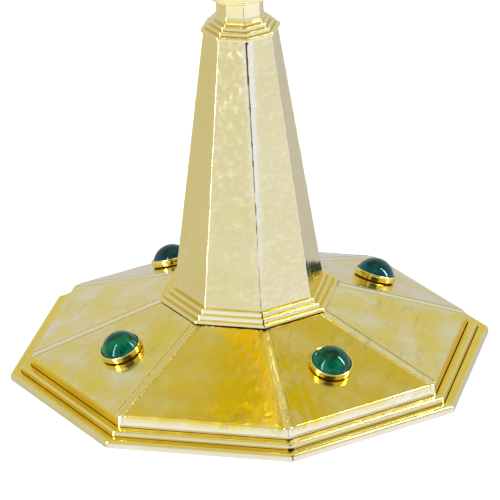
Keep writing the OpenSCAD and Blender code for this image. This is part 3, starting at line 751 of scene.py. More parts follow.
def stem_collar():
    z, gap = SHELL_TOP, 0.5
    r = corner_r("stem_collar")
    steps = stack([r, r - 2.4, r - 4.8], z, lean=0.25)
    bore, seat = 25, 28.4
    outline = [(bore, z), (r - 1.3, z), (r - 1.3, z + gap), (r, z + gap)] + steps[1:]
    outline += [(seat, STEM_Z), (seat, STEM_Z + 2), (bore, STEM_Z + 2)]

    def under(side, s, d, radius, zz, upright):
        tread = (upright < 0.2) & (zz > z + 1)
        # Painted light: side 6 is pale with bright treads; the other treads carry the painted deep-gold
        # reflection.
        painted_light = np.where(side == 6, np.where(tread, 4, 3), np.where(tread, 2, 0))
        mitre = (d < 0.16 + 0.1 * waves(s, 0 * s, 6, 1.7)) & at_seam(side) & (zz > z + gap)
        # Painted shade in the gap under the collar, and the joint line of the mitre at the seam.
        return np.where(mitre | (zz < z + gap - 0.05), 1, painted_light)

    near, hand = (0, 0.15, 0.3, 0.45), uneven(0.015, 5, 16)
    s = Shape(octagon(refined(outline, 0.6), across=24, fillet=0.5, near=near, dark=under, shift=hand))
    add_mesh("stem_collar_stepped", s, "stem_collar", "moulding_gilt", [MOULDING, JOINT_AND_SHADE, GOLD_REFLECTION, PAINTED_LIT, PAINTED_HIGHLIGHT])


def hammered_tube(r0, z0, r1, z1, wall, strength, seed, seam=None, step=0.5, across=36):
    """A tapered eight-sided tube. strength is each face's hammering at its foot and at its top;
    seam is the side whose first corner is the join."""
    outline = [(r0 - wall, z0)] + refined([(r0, z0), (r1, z1)], step) + [(r1 - wall, z1)]
    length = math.hypot((r0 - r1) * FLAT, z1 - z0)

    def seam_width(s):
        return 0.30 + 0.34 * np.clip(s / length, 0, 1) ** 1.5 + 0.06 * waves(s, 0 * s, seed + 2, 7)

    def beside_seam(side, x):
        return ((side == seam) & (x < 0)) | ((side == (seam - 1) % 8) & (x > 0))

    def shift(side, x, s, d):
        u, t = x + 61.0 * side, np.clip(s / length, 0, 1)
        field = dents(u, s, seed, 2.1, 12, 0.005) + 0.35 * dents(u, s, seed + 5, 4.3, 40, 0.01)
        low, high = strength[side]
        force = low + (high - low) * t ** 1.6
        lift = 1.4 * force * (field - field.mean()) * ramp(d, 0.25, 1.3) + 0.04 * waves(u, s, seed, 17)
        lift += 0.04 * waves(s, 0 * s + 31 * side, seed + 1, 9) * ramp(3.0 - d, 0, 3)
        lift += 0.012 * waves(s, 0 * s + 31 * side, seed + 4, 2.4) * ramp(0.9 - d, 0, 0.9)
        # Painted highlight on the dents' crests and painted shade in their hollows, with rubbing.
        rub_shade_tint = 0.5 + 0.65 * (crests(field) - 0.5) * force
        # Painted highlight along the corners.
        edge = 0.4 * ramp(0.45 - d, 0, 0.25) * (0.7 + 0.3 * waves(s, 0 * s + 7 * side, seed + 8, 6))
        if seam is not None:
            near_it = beside_seam(side, x)
            first = side == seam
            lift -= near_it * np.where(first, 0.15, 0.1 + 0.7 * t) * np.clip(1 - d / seam_width(s), 0, 1)
            # Painted highlight: a bright line beside the seam.
            seam_glint = 0.5 * np.exp(-((d - 0.28) / 0.15) ** 2) * first
            edge = np.where(near_it, seam_glint * (0.8 + 0.3 * waves(s, 0 * s, seed + 9, 8)), edge)
            # Painted shade: the face beside the seam darkens towards it, more towards the top.
            rub_shade_tint -= near_it * ~first * 0.7 * np.exp(-(d / 2.2) ** 2) * t
        return lift, np.clip(rub_shade_tint + edge, 0, 1)

    def metal(side, s, d, radius, z, upright):
        if seam is None:
            return 0 * side
        t = np.clip(s / length, 0, 1)
        wide = np.where(side == seam, 0.14 * t, 0.06 + 0.5 * t ** 2)
        mark = wide + 0.12 * waves(s, 0 * s, seed + 3, 9) * (1 - 0.5 * t)
        in_seam = at_seam(side) & (d < mark) & (z > z0) & (z < z1)
        # Painted shadow under the ring above, where the seam reaches the top.
        ring_shadow = at_seam(side) & (d < 0.6) & (z > z1 - 1.2) & (z < z1)
        return np.where(ring_shadow, 3, np.where(in_seam, 1, np.where(front_faces(side), 0, 2)))

    near = (0, 0.14, 0.28, 0.42, 0.7, 1.1, 1.6)
    return octagon(outline, across=across, near=near, fillet=0.35, shift=shift, dark=metal)


def stem():
    strength = {5: (0.14, 0.2), 6: (0.32, 0.9), 7: (0.32, 0.38), 0: (0.22, 0.3)}
    strength = [strength.get(i, (0.4, 0.8)) for i in range(8)]
    s = Shape(hammered_tube(STEM_R, STEM_Z, STEM_R_TOP, STEM_TOP, 1.3, strength, 21, seam=7))
    add_mesh("stem_hammered", s, "stem_shell", "hammered_gilt", [HAMMERED, SEAM, SMOOTHED, JOINT_AND_SHADE], sharp=50)


def moulding_ring(name, node, radii, growing=False):
    """A three-step moulding, narrowing upwards unless it is growing, on a plain tube where it is tall."""
    z0, z1 = low_z(node), top_z(node)
    base = z1 - 3 * STEP
    outline = [(ROD_HOLE_R, base), (radii[0] - 0.4, base)] + stack(radii, base) + [(ROD_HOLE_R, z1)]
    if growing:
        outline = flipped(outline, base, z1)
    s = Shape(octagon(refined(outline, 3), across=6, fillet=0.5, near=(0, 0.12, 0.25)))
    if z0 < base - 1:
        r = radii[0] - 2.8
        tube = [(ROD_HOLE_R, z0), (r - 0.3, z0), (r, z0 + 0.3), (r, base), (ROD_HOLE_R, base)]
        s.add(octagon(tube, across=4))
    add_mesh(name, s, node, "moulding_gilt")


def knop():
    k, col = corner_r("knop_lower_shell"), 18.0
    low, mid0, mid1 = low_z("knop_lower_shell"), low_z("knop_band"), top_z("knop_band")
    strip = 1.3
    shift = ridged(strip, math.tan(math.radians(12)), hammering(0.8, 3.6, 24), 33)
    lower = [(ROD_HOLE_R, low), (col, low)] + refined([(col, low + 0.15), (k, mid0)], 0.8)
    lower += [(k - 1.2, mid0), (col - 0.8, low + 1.2), (ROD_HOLE_R, low + 1.2)]
    upper = [(r, z - low + mid1) for r, z in flipped(lower, low, mid0)]
    for half, outline in (("lower", lower), ("upper", upper)):
        s = Shape(octagon(outline, across=22, near=beside_strip(strip), fillet=0.4, shift=shift))
        add_mesh("knop_%s_hammered" % half, s, "knop_%s_shell" % half, "hammered_gilt", sharp=40)

    bead, r = 2.4, corner_r("knop_band")
    face = k + 1

    def collar(z, sign):
        return arc(r - 1.15, z + sign * bead / 2, bead / 2 - 0.05, -90, 90, 8)

    outline = [(k - 3.4, mid0), (r - 1.3, mid0 + 0.02)] + collar(mid0, 1) + [(face + 0.1, mid0 + bead)]
    outline += refined([(face, mid0 + bead + 0.15), (face, mid1 - bead - 0.15)], 0.8)
    outline += [(face + 0.1, mid1 - bead)] + collar(mid1, -1) + [(r - 1.3, mid1 - 0.02), (k - 3.4, mid1)]

    def stipple(side, x, s, d):
        total = s[-1, 0]
        inside = ramp(s, total * 0.36, total * 0.4) * ramp(total - s, total * 0.36, total * 0.4)
        return 0.35 * inside * dents(x + 71.0 * side, s, 8, 1.5, 6, 0.01) * ramp(d, 0.3, 1.2)

    s = Shape(octagon(outline, across=34, fillet=0.7, near=(0, 0.2, 0.4), shift=stipple))
    add_mesh("knop_band_beaded", s, "knop_band", "moulding_gilt")
    middle = (face * FLAT, 0, (mid0 + mid1) / 2)
    places = [turn("Y", 90, middle, turn("Z", angle)) for angle in CORNERS]
    small_stones("knop", places, KNOP_STONE_R, SMALL_DOME)


def columns():
    z0, z1, r = low_z("neck_column"), top_z("neck_column"), corner_r("neck_column")
    outline = [(ROD_HOLE_R, z0), (r, z0), (r, z0 + 0.8), (r - 0.9, z0 + 1.6)]
    outline += refined([(r - 1.1, z0 + 2.4), (r - 1.1, z1 - 2.4)], 1)
    outline += [(r - 0.9, z1 - 1.6), (r, z1 - 0.8), (r, z1), (ROD_HOLE_R, z1)]
    s = Shape(octagon(outline, across=6, fillet=0.5))
    add_mesh("neck_column_waisted", s, "neck_column", "moulding_gilt")
    foot, low, r1, high = 12.4, low_z("upper_stem"), corner_r("upper_stem"), top_z("upper_stem")
    s = Shape(hammered_tube(foot, low, r1, high, 1.3, [(0.8, 0.9)] * 8, 51, step=0.7, across=18))
    add_mesh("upper_stem_hammered", s, "upper_stem", "hammered_gilt", sharp=35)


def display_socket():
    """Octagonal foot flowing into the saddle under the frame, with its tang."""
    z0 = low_z("display_socket")
    z1 = DISPLAY_Z - FRAME_R * FLAT
    n, rows = 96, 26
    angles = np.linspace(0, 2 * math.pi, n, endpoint=False)
    fold = (angles + HALF) % (2 * HALF) - HALF
    octo = 21 * FLAT / np.cos(fold)
    a = np.stack([octo * np.cos(angles), octo * np.sin(angles)], 1)
    half_x, y0, y1, round_p = 19.0, -1.0, 11.0, 10
    c, s = np.cos(angles), np.sin(angles)
    k = (np.abs(c) ** round_p + np.abs(s) ** round_p) ** (-1 / round_p)
    b = np.stack([half_x * c * k, (y0 + y1) / 2 + (y1 - y0) / 2 * s * k], 1)
    levels = [(z0, 0.0, 0.0), (z0 + 0.6, 0.0, 0.35), (z0 + 3.4, 0.0, 0.35)]
    levels += [(z0 + 4.0, 0.0, 0.0), (z0 + 4.6, 0.0, 0.5)]
    for i in range(rows):
        t = i / (rows - 1)
        levels.append((z0 + 5.2 + (z1 - z0 - 8.4) * t, t * t * (3 - 2 * t) * 0.9 + 0.1 * t, 0.6))
    levels += [(z1 - 2.8, 1.0, 0.0), (z1 - 0.4, 1.0, 0.0), (z1, 1.0, 0.4)]
    verts = []
    for i, (z, t, inset) in enumerate(levels):
        ring = a * (1 - t) + b * t
        centre = np.array([0, (y0 + y1) / 2 * t])
        away = ring - centre
        length = np.linalg.norm(away, axis=1)[:, None]
        lift = -inset
        if 5 <= i < 5 + rows:
            lift = lift + 0.6 * dents(angles * 20, np.full(n, z), 61, 3.4, 22, 0.008)[:, None]
        verts.append(np.column_stack([ring + away / length * lift, np.full(n, z)]))
    shape = Shape((np.concatenate(verts), loft_faces(len(levels), n)))
    shape.add(block((-15.5, -FLANGE_BACK, z1 - 1), (15.5, -PLATE_FRONT, top_z("display_socket")), 0.3))
    add_mesh("display_socket_flared", shape, "display_socket", "moulding_gilt", [HAMMERED])


# ---------------------------------------------------------------- display frame

def frame_rim():
    r = FRAME_R
    bore, seat = 62, 68
    outline = [(bore, PLATE_FRONT), (seat, PLATE_FRONT), (seat, FLANGE_BACK), (r - 0.4, FLANGE_BACK)]
    outline += arc(r - 0.4, FLANGE_BACK + 0.4, 0.4, -90, 0, 2)
    outline += arc(r - 1.3, FLANGE_FRONT - 1.3, 1.3, 0, 90, 5)
    back = r - 3.6
    outline += [(back + 0.3, FLANGE_FRONT), (back + 0.25, FLANGE_FRONT - 0.3), (back, FLANGE_FRONT - 0.3)]
    outline += [(back, FLANGE_FRONT + 0.1)] + arc(back - 1.1, MID_STEP - 1.1, 1.1, 0, 90, 5)
    outline += [(SKIRT_R + 0.3, MID_STEP), (SKIRT_R + 0.25, MID_STEP - 0.35)]
    outline += [(SKIRT_R - 0.8, MID_STEP - 0.35), (SKIRT_R - 0.8, MID_STEP), (bore, MID_STEP)]

    def groove(side, s, d, radius, z, upright):
        # Painted shade in the hairline grooves.
        low = (z < FLANGE_FRONT) & (z > FLANGE_FRONT - 0.35) & (radius < back + 0.31) & (radius > back - 0.1)
        high = (z < MID_STEP) & (z > MID_STEP - 0.4) & (radius < SKIRT_R + 0.31) & (radius > SKIRT_R - 0.9)
        return low | high

    near, hand = (0, 0.2, 0.4, 0.6), uneven(0.015, 15, 30)
    s = Shape(octagon(outline, across=10, fillet=1.4, near=near, dark=groove, shift=hand), facing)
    add_mesh("frame_rim_moulded", s, "frame_rim", "moulding_gilt", [MOULDING, JOINT_AND_SHADE])


def frame_panel():
    outline = roof(MID_STEP, SKIRT_R, 1.3, FRAME_PANEL_R, FRONT, FRAME_FALL, SLEEVE_R + 0.2, 1.2, 0.8)
    outline = [p if p[0] > 50 or p[1] < FRONT - 3 else (p[0], p[1], 1) for p in outline]    # a round hole
    strip = 1.2

    shift = ridged(strip, math.tan(math.radians(9.6)), hammering(0.7, 4.2, 45), 43)
    s = Shape(octagon(outline, across=34, near=beside_strip(strip), fillet=0.8, shift=shift), facing)
    add_mesh("frame_panel_raised", s, "frame_panel", "planished_gilt", [FRAME_FACE], sharp=40)


def frame_collar():
    r = corner_r("frame_collar")
    top = FRONT + 3 * STEP
    outline = [(WINDOW_R, FRONT, 1), (r - 1.2, FRONT), (r - 1.2, FRONT + 0.4), (r, FRONT + 0.4)]
    outline += stack([r, r - 2.4, r - 4.8], FRONT)[1:]
    outline += [(WINDOW_R + 1.4, top, 1), (WINDOW_R + 1.0, top - 0.25, 1)]
    outline += [(WINDOW_R + 0.3, top - 0.6, 1), (WINDOW_R, top - 1.2, 1)]

    def under(side, s, d, radius, z, upright):
        # Painted shade in the gap under the collar.
        return (z < FRONT + 0.35) & (radius > r - 2)

    s = Shape(octagon(outline, across=14, fillet=0.5, near=(0, 0.12, 0.25), dark=under), facing)
    add_mesh("frame_collar_stepped", s, "frame_collar", "moulding_gilt", [MOULDING, JOINT_AND_SHADE])


def ring_outline(r0, r1, z0, z1, edge=0.25):
    """Outline of a plain ring with chamfered edges."""
    out = [(r0 + edge, z0), (r1 - edge, z0), (r1, z0 + edge), (r1, z1 - edge)]
    return out + [(r1 - edge, z1), (r0 + edge, z1), (r0, z1 - edge), (r0, z0 + edge)]


def back_plate():
    """The plate behind the display, with a line scribed along its border, and the sleeve in its hole."""
    r, hole, edge, line = FRAME_R, SLEEVE_R + 0.2, 0.35, 0.2
    z0, z1 = PLATE_BACK, PLATE_FRONT
    outline = [(hole, z0 + 0.2, 1), (hole + 0.2, z0, 1), (hole + 2, z0, 1)]
    outline += [(r - 5.2, z0), (r - 5.0, z0 + line), (r - 4.6, z0 + line), (r - 4.4, z0)]
    outline += [(r - edge, z0), (r, z0 + edge), (r, z1 - edge), (r - edge, z1), (r - 6, z1), (hole, z1, 1)]
    s = Shape(octagon(outline, across=20, fillet=1.2, near=(0, 0.2, 0.4, 0.6)), facing)
    add_mesh("back_plate_scribed", s, "back_plate", "satin_gilt")
    s = Shape(lathe(ring_outline(BORE_R, SLEEVE_R, PLATE_BACK, FRONT), 128), facing)
    add_mesh("frame_sleeve_turned", s, "frame_sleeve", "plain_gilt")


# ---------------------------------------------------------------- sunburst

def blade(shape, angle, tip, half_w):
    """A lance-shaped ray with a crisp ridge on both faces.
    Each station is how far out it is, its width, and its height, as a share of the ray's own."""
    length = tip - RAY_ROOT
    middle = (FLANGE_BACK + PLATE_FRONT) / 2
    stations = [(0, 0.66, 1.45), (0.10, 0.74, 1.45), (0.22, 0.90, 1.45), (0.34, 1.0, 1.4)]
    stations += [(0.46, 0.90, 1.25), (0.62, 0.68, 1.05), (0.78, 0.42, 0.8)]
    stations += [(0.90, 0.20, 0.55), (0.97, 0.07, 0.38), (1.0, 0.015, 0.3)]
    verts = []
    for t, w, h in stations:
        w, edge = w * half_w, min(0.35, h * 0.55)
        ridge = min(0.16, w * 0.3)
        section = [(-w, -edge), (-w, edge), (-ridge, h), (ridge, h)]
        section += [(-y, -z) for y, z in section]
        verts += [(RAY_ROOT + t * length, y, middle + z) for y, z in section]
    faces = [tuple(reversed(f)) for f in loft_faces(len(stations), len(section))]
    shape.add((verts, faces), turn("Z", angle, then=facing))


def sunburst():
    long_tip = float(box("long_rays")[1][0]) / FLAT
    middle_tip = float(box("middle_rays")[1][0])
    rng = np.random.default_rng(7)

    def group(name, node, rays):
        shape = Shape()
        for angle, tip, w in rays:
            blade(shape, angle + rng.uniform(-0.25, 0.25), tip - rng.uniform(0, 0.8), w)
        add_mesh(name, shape, node, "ray_gilt", sharp=12)

    group("long_rays_forged", "long_rays", [(22.5 + 45 * i, long_tip, 4.6) for i in range(8)])
    group("middle_rays_forged", "middle_rays", [(45 * i, middle_tip, 4.2) for i in range(8) if i % 4 != 2])
    sides = [(45 * i, s) for i in range(8) for s in (-1, 1)]
    group("side_rays_forged", "side_rays",
          [(a + 7.5 * s, middle_tip - 22, 3.4) for a, s in sides if a not in (90, 270)]
          + [(a + 15 * s, middle_tip - 10, 3.6) for a, s in sides if a != 270])


# ---------------------------------------------------------------- cross

CROSS_Z = DISPLAY_Z + FRAME_R * FLAT
CROSS_Y = -(FLANGE_BACK + PLATE_FRONT) / 2
CROSS_ARM = 23.0                   # from the middle to the end of the three upper arms
CROSS_MIDDLE = top_z("cross") - CROSS_ARM
CROSS_FACE = 3.0                   # the raised field in front of the middle plane


def on_cross(v):
    """From the cross's own axes (right, up, forward) to the object's."""
    return np.stack([v[:, 0], CROSS_Y - v[:, 2], v[:, 1] + CROSS_MIDDLE], 1)


def cross_outline(inset=0.0):
    """Flared arms with hollowed ends, from the top arm round clockwise in plan."""
    lower = float(top_z("cross") - low_z("cross")) - CROSS_ARM
    root, flare, hollow = 3.6, 3.0, 1.3
    half_end = (root + flare) / 2
    out = []
    for angle, length in ((0, CROSS_ARM), (270, CROSS_ARM), (180, lower), (90, CROSS_ARM)):
        a = math.radians(angle)
        c, s = math.cos(a), math.sin(a)
        side = []
        for t in np.linspace(0, 1, 9):
            w = root + flare * t ** 2.2
            side.append((w - inset, root + (length - root) * t - inset * (t == 1)))
        end = [(w * half_end, length - inset - hollow * (1 - (w / 2) ** 2)) for w in (1, 0, -1)]
        if angle == 180:
            end = [(0, length - inset)]
        pts = side[1:] + end + [(-x, y) for x, y in reversed(side[1:])]
        pts = [(-root + inset, root - inset)] + [(-x, y) for x, y in pts]
        out += [(x * c - y * s, x * s + y * c) for x, y in pts]
    return list(reversed(out))


def crucifix():
    """The cross with its raised fields, its stone, and the stepped foot that it stands on."""
    shape = Shape(prism(cross_outline(), -3, 2.3, 0.45), on_cross)
    inner = cross_outline(1.3)
    shape.add(prism(inner, 2.0, CROSS_FACE, 0.35), on_cross)
    shape.add(prism(inner, -3.25, -2.9, 0.1), on_cross)
    add_mesh("cross_bevelled", shape, "cross", "ray_gilt")

    shape = Shape()
    place = moved(0, 0, CROSS_FACE, on_cross)
    setting(shape, place, CROSS_STONE_R, SMALL_H)
    add_mesh("cross_setting", shape, "cross_bezel", "plain_gilt", SETTING_SET)
    shape = Shape(lathe(dome(CROSS_STONE_R - LIP, SMALL_H, SMALL_DOME), 48), place)
    add_mesh("cross_cabochon", shape, "cross_stone", "green_stone")

    shape = Shape()
    foot_h, steps = 8.0, 3
    for i in range(steps):
        w, d = 13.6 - 2.6 * i, 6 - 0.9 * i
        z0, z1 = (CROSS_Z + k * foot_h / steps for k in (i, i + 1))
        shape.add(block((-w, CROSS_Y - d, z0), (w, CROSS_Y + d, z1), 0.45))
    shape.add(block((-12, -FLANGE_BACK, low_z("cross_foot")), (12, -PLATE_FRONT, CROSS_Z + 1), 0.3))
    add_mesh("cross_foot_stepped", shape, "cross_foot", "ray_gilt", [MOULDING])


# ---------------------------------------------------------------- luna

OPENING_R = 39                     # clear radius inside the rings that hold the windows
BARREL_R = 44
SEAT = BARREL_FRONT - 1.5          # what the front window rests against


def disc(r, z0, z1, edge, upper=None):
    """Outline of a pin or a pane. upper is the height of its upper chamfer where that differs."""
    return [(0, z0), (r - edge, z0), (r, z0 + edge), (r, z1 - (upper or edge)), (r - edge, z1), (0, z1)]


def knurled(depth, count):
    """A ripple for lathe() that cuts flutes into the widest rows."""
    return lambda r, a: depth * np.where(r > r.max() - 0.05, np.cos(count * a), 0)


def knuckle(shape, z0, z1):
    """One barrel of the lid's hinge."""
    shape.add(lathe(ring_outline(1.05, 2.3, z0, z1, 0.3), 32), moved(HINGE_X, HINGE_Y, DISPLAY_Z))


def barrel():
    """The turned barrel with a ring of beads round its mouth and two hinge knuckles."""
    r, flange_back, flange_front = BARREL_R, -12, -9.3
    outline = [(WINDOW_R, BARREL_BACK), (r - 0.3, BARREL_BACK), (r, BARREL_BACK + 0.3)]
    outline += [(r, flange_back), (49.1, flange_back)] + arc(49.1, flange_back + 0.4, 0.4, -90, 0, 2)
    outline += [(49.5, flange_front - 0.4), (49.1, flange_front), (r, flange_front), (r, BARREL_FRONT - 0.3)]
    outline += [(r - 0.3, BARREL_FRONT), (41.4, BARREL_FRONT), (41.1, BARREL_FRONT - 0.5)]
    outline += [(OPENING_R + 0.3, BARREL_FRONT - 0.5), (OPENING_R, SEAT + 0.6)]
    outline += [(OPENING_R, SEAT), (WINDOW_R, SEAT)]
    shape = Shape(lathe(outline, 160), facing)
    beads, bead_r, circle_r = 104, 0.78, 40.2
    for i in range(beads):
        a = 2 * math.pi * i / beads
        bead = lathe([(0, -0.7)] + arc(0, 0, bead_r, -60, 60, 4) + [(0, bead_r)], 10)
        shape.add(bead, moved(circle_r * math.cos(a), circle_r * math.sin(a), BARREL_FRONT - 0.35, facing))
    for z in (-9.5, 4.5):
        knuckle(shape, z, z + 5)
        low, high = DISPLAY_Z + z, DISPLAY_Z + z + 5
        shape.add(block((HINGE_X, HINGE_Y - 2.3, low), (HINGE_X + 5, HINGE_Y - 0.4, high), 0.25))
    add_mesh("luna_barrel_turned", shape, "luna_barrel", "moulding_gilt", body="luna")


def luna():
    """The barrel, its window, the lunette's socket, the pull and the hinge pin."""
    barrel()
    s = Shape(lathe(disc(41.3, SEAT - 2, SEAT - 0.02, 0.3, 0.33), 96), facing)
    add_mesh("front_window", s, "front_glass", "clear_glass", body="luna")
    s = Shape(lathe(ring_outline(OPENING_R, WINDOW_R - 0.1, SEAT - 3.6, SEAT - 2), 128), facing)
    add_mesh("front_glass_keeper", s, "front_glass_ring", "plain_gilt", body="luna")

    s = Shape()
    low, high, deep = -41.0, -38.3, 5
    walls = [(-6, -3.3, -deep, deep, 0.3), (3.3, 6, -deep, deep, 0.3)]
    walls += [(-3.4, 3.4, -deep, -1.5, 0.2), (-3.4, 3.4, 1.5, deep, 0.2)]
    for x0, x1, z0, z1, edge in walls:
        s.add(block((x0, low, z0), (x1, high, z1), edge), facing)
    s.add(block((-3.4, low - 0.3, -1.6), (3.4, low + 0.2, 1.6), 0.1), facing)
    add_mesh("lunette_socket_slotted", s, "lunette_socket", "plain_gilt", body="luna")

    s = Shape()
    lug = [(-6, -55.5), (-4.5, -57), (4.5, -57), (6, -55.5)]
    lug += [(x, -math.sqrt(49.6 ** 2 - x * x)) for x in (6, 3, 0, -3, -6)]
    s.add(prism(lug, -12, -9.8, 0.3), facing)
    knob = [(0, -18.4), (2.4, -18.4)] + arc(2.4, -17.6, 0.8, -90, 90, 6)
    knob += [(1.9, -16.5), (1.6, -15.6), (1.7, -12.6), (2.1, -12), (0, -12)]
    s.add(lathe(knob, 40), moved(0, -53.6, 0, facing))
    add_mesh("luna_pull_turned", s, "luna_pull", "plain_gilt", body="luna")

    head = [(1, 9.5), (1.7, 9.5), (1.7, 10.2), (1.3, 10.5), (0, 10.5)]
    pin = [(r, -z) for r, z in reversed(head)] + head
    s = Shape(lathe(pin, 32), moved(HINGE_X, HINGE_Y, DISPLAY_Z))
    add_mesh("lid_hinge_pin_headed", s, "lid_hinge_pin", "steel", body="luna")


def luna_lid():
    front, back = -14.2, -17.2
    shape = Shape()
    outline = [(42, back - 1.2), (46.4, back - 1.2)] + arc(46.2, back - 0.4, 0.8, -90, 0, 3)
    outline += [(47, front - 0.3), (46.7, front), (38.8, front), (38.5, front - 0.3)]
    outline += [(38.5, front - 1.2), (38.7, front - 1.4), (42, front - 1.4)]
    shape.add(lathe(outline, 320, ripple=knurled(0.12, 80)), facing)
    knuckle(shape, -4, 4)
    shape.add(block((HINGE_X, -front, DISPLAY_Z - 4), (HINGE_X + 5.6, -front + 2.1, DISPLAY_Z + 4), 0.25))
    add_mesh("lid_frame_knurled", shape, "lid_frame", "moulding_gilt", body="luna_lid")
    seat = front - 1.4
    s = Shape(lathe(disc(41.8, seat - 1.6, seat, 0.3), 96), facing)
    add_mesh("rear_window", s, "rear_glass", "clear_glass", body="luna_lid")
    s = Shape(lathe(ring_outline(OPENING_R, 41.9, seat - 2.8, seat - 1.6), 128), facing)
    add_mesh("lid_glass_keeper", s, "lid_glass_ring", "plain_gilt", body="luna_lid")
    s = Shape()
    tab = [(46.8, -4.6), (52, -5), (54.4, -3.6), (54.6, 0), (54.4, 3.6), (52, 5), (46.8, 4.6)]
    s.add(prism(tab, front - 2, front, 0.35), facing)
    for y in (-2.4, -0.8, 0.8, 2.4):
        s.add(block((49.5, y - 0.35, front - 2.3), (53.2, y + 0.35, front - 1.9), 0.12), facing)
    add_mesh("lid_tab_ribbed", s, "lid_tab", "plain_gilt", body="luna_lid")


def crescent(shape, z0, z1, face):
    """Half of the clip, with a rounded rim and an engraved line on its outer face."""
    r0, r1, edge, groove = 29.5, 35.0, 0.25, 0.18
    mid = (r0 + r1) / 2
    line = [(mid + 0.5, z1), (mid + 0.3, z1 - groove), (mid - 0.3, z1 - groove), (mid - 0.5, z1)]
    ring = ring_outline(r0, r1, z0, z1, edge)
    outline = ring[:5] + line + ring[5:]
    if face < 0:
        outline = flipped(outline, z0, z1)
    shape.add(lathe(outline, 72, start=202, sweep=136), facing)
    for a in (202, 338):
        x, y = mid * math.cos(math.radians(a)), mid * math.sin(math.radians(a))
        end = disc(2.75, z0, z1, edge)[:-1] + [(0, z1 + 0.35 * face)]
        shape.add(lathe(end, 32), moved(x, y, 0, facing))


def lunette():
    """The clip: a fixed crescent on a tenon, a jaw that hinges against it, and the jaw's pin."""
    pivot, tenon_top = 36.4, 38.3

    def across(x):
        return turn("Y", 90, (x, -pivot, -1.4), facing)

    s = Shape()
    crescent(s, 0.7, 2, 1)
    s.add(block((-5, -tenon_top, 0.2), (5, -34.2, 2), 0.25), facing)
    s.add(block((-5, -tenon_top, -1.1), (5, -tenon_top + 0.3, 2), 0.1), facing)
    s.add(block((-3, -40.6, -1.1), (3, -tenon_top + 0.1, 1.3), 0.25), facing)
    for x in (-4.9, 2.9):
        s.add(lathe(ring_outline(0.75, 1.3, 0, 2, 0.15), 28), across(x))
        s.add(block((x, -pivot - 1.2, -0.4), (x + 2, -pivot + 1.2, 0.6), 0.1), facing)
    add_mesh("lunette_crescent_engraved", s, "lunette_crescent", "moulding_gilt", body="lunette")
    s = Shape(lathe(disc(0.7, -5.2, 5.2, 0.1), 24), across(0))
    add_mesh("jaw_pin_turned", s, "jaw_pin", "steel", body="lunette")
    s = Shape()
    crescent(s, -2, -0.7, -1)
    s.add(block((-2.6, -pivot + 0.9, -2), (2.6, -pivot + 3, -0.7), 0.2), facing)
    s.add(lathe(ring_outline(0.75, 1.3, -2.6, 2.6, 0.15), 28), across(0))
    add_mesh("lunette_jaw_engraved", s, "lunette_jaw", "moulding_gilt", body="lunette_jaw_body")


# ---------------------------------------------------------------- hidden fittings kept from the CAD

def fittings():
    steel_nodes = ("tie_rod", "rod_washer", "rod_nut", "foot_bezel_nuts", "frame_screws", "tang_screws")
    for node in ("clamp_plate",) + steel_nodes:
        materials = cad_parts[node].data.materials
        materials.clear()
        materials.append(STEEL if node in steel_nodes else SATIN)


foot_rim()
foot_shell()
foot_stones()
stem_collar()
stem()
moulding_ring("neck_collar_stepped", "neck_collar", [16.2, 14.4, 12.6])
columns()
moulding_ring("knop_lower_moulding", "knop_lower_collar", [18.4, 16.4, 14.4], growing=True)
knop()
moulding_ring("knop_upper_moulding", "knop_upper_collar", [18.4, 16.4, 14.4])
moulding_ring("socket_moulding", "socket_collar", [23.2, 21.2, 19.2], growing=True)
display_socket()
frame_rim()
frame_panel()
frame_collar()
back_plate()
small_stones("frame", [on_frame(angle) for angle in (45, 135, 225, 315)], FRAME_STONE_R, FRAME_DOME)
sunburst()
crucifix()
luna()
luna_lid()
lunette()
fittings()


# ---------------------------------------------------------------- studio

CAMERA_AZIMUTH = 13.74             # to the right of the front
WALL, WARM, CEILING, DARK = (0.74, 0.77, 0.84), (0.64, 0.59, 0.27), (1.10, 0.98, 0.28), (0.05, 0.045, 0.04)
BELOW_LEFT, BELOW_FRONT = (0.77, 0.76, 0.74), (0.87, 0.93, 1.25)
BELOW_RIGHT, BELOW_BACK = (0.90, 0.97, 1.46), (0.66, 0.67, 0.80)


def toward(azimuth, elevation):
    """The direction at an azimuth from the front, to the right, and at an elevation."""
    flat = math.cos(elevation)
    return Vector((math.sin(azimuth) * flat, -math.cos(azimuth) * flat, math.sin(elevation)))


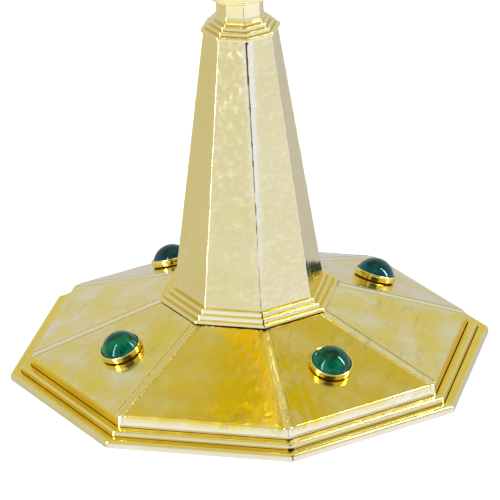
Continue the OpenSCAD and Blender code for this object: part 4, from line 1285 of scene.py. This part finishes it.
def studio():
    """A pale room: cool sheets below, cool walls, a warm ceiling, and a shadowed space behind the camera."""
    world = bpy.data.worlds.new("studio")
    bpy.context.scene.world = world
    world.use_nodes = True
    tree = world.node_tree
    background = tree.nodes["Background"]
    way = add_node(tree, "ShaderNodeTexCoord").outputs["Generated"]
    split = add_node(tree, "ShaderNodeSeparateXYZ", {0: way})
    across, back, height = split.outputs["X"], split.outputs["Y"], split.outputs["Z"]
    above = mix_colour(tree, remap(tree, height, 0.60, 0.80), WALL, WARM)
    above = mix_colour(tree, remap(tree, height, 0.91, 0.98), above, CEILING)
    below = mix_colour(tree, remap(tree, across, 0.20, 0.85), BELOW_FRONT, BELOW_RIGHT)
    gain = remap(tree, height, -0.38, -0.20, 1.30, 1.0)
    below = add_node(tree, "ShaderNodeVectorMath", {0: below, "Scale": gain}, operation="SCALE").outputs[0]
    below = mix_colour(tree, remap(tree, across, -0.80, -0.30, 1.0, 0.0), below, BELOW_LEFT)
    below = mix_colour(tree, remap(tree, back, 0.35, 0.85), below, BELOW_BACK)
    colour = mix_colour(tree, remap(tree, height, 0.0, 0.10), below, above)
    for azimuth, elevation, outer, inner in ((22, 32, 0.88, 0.95), (30, -24, 0.965, 0.985)):
        shadow = toward(math.radians(azimuth), math.radians(elevation))
        near = add_node(tree, "ShaderNodeVectorMath", {0: way, 1: shadow}, operation="DOT_PRODUCT")
        colour = mix_colour(tree, remap(tree, near.outputs["Value"], outer, inner), colour, DARK)
    tree.links.new(colour, background.inputs["Color"])

    floor = stage_floor("floor", -0.0002)
    mat, tree, shader = new_material("white_floor")
    set_inputs(tree, shader, {"Base Color": (0.62, 0.62, 0.62, 1), "Roughness": 0.9})
    set_inputs(tree, shader, {"Emission Color": (1, 1, 1, 1), "Emission Strength": 0.55})
    floor.data.materials.append(mat)
    floor.visible_glossy = floor.visible_diffuse = floor.visible_transmission = floor.visible_shadow = False


def stage_floor(name, z):
    plane = bpy.data.meshes.new(name)
    r = 12.0
    plane.from_pydata([(-r, -r, 0), (r, -r, 0), (r, r, 0), (-r, r, 0)], [], [(0, 1, 2, 3)])
    floor = bpy.data.objects.new(name, plane)
    floor.location.z = z
    bpy.context.scene.collection.objects.link(floor)
    return floor


def strip_light(name, azimuth, distance, height, width, length, power):
    light = bpy.data.lights.new(name, "AREA")
    light.shape, light.size, light.size_y, light.energy = "RECTANGLE", width, length, power
    lamp = bpy.data.objects.new(name, light)
    a = math.radians(azimuth)
    lamp.location = (math.sin(a) * distance, -math.cos(a) * distance, height)
    aim = Vector((0, 0, height)) - lamp.location
    lamp.rotation_mode = "QUATERNION"
    lamp.rotation_quaternion = aim.to_track_quat("-Z", "Y")
    lamp.visible_camera = False
    bpy.context.scene.collection.objects.link(lamp)


def camera():
    """A long lens in front, a little to the right and above, aimed at the foot and stem."""
    azimuth, elevation, roll = math.radians(CAMERA_AZIMUTH), math.radians(24.26), math.radians(-1.87)
    distance, right_by, up_by = 2.0606, 0.00091, 0.0436
    back = toward(azimuth, elevation)
    right = Vector((math.cos(azimuth), math.sin(azimuth), 0))
    up = back.cross(right)
    data = bpy.data.cameras.new("camera")
    data.lens, data.sensor_width = 360, 36
    data.clip_start, data.clip_end = 0.1, 50
    cam = bpy.data.objects.new("camera", data)
    rolled_right = right * math.cos(roll) + up * math.sin(roll)
    rolled_up = up * math.cos(roll) - right * math.sin(roll)
    m = Matrix((rolled_right, rolled_up, back)).transposed().to_4x4()
    m.translation = back * distance + right * right_by + up * up_by
    cam.matrix_world = m
    bpy.context.scene.collection.objects.link(cam)
    bpy.context.scene.camera = cam


studio()
strip_light("strip_left", CAMERA_AZIMUTH - 48, 1.3, 0.75, 0.16, 2.0, 22)
strip_light("strip_right", CAMERA_AZIMUTH + 83, 1.3, 0.95, 0.16, 1.6, 30)
camera()
bpy.context.scene.view_settings.view_transform = "Standard"
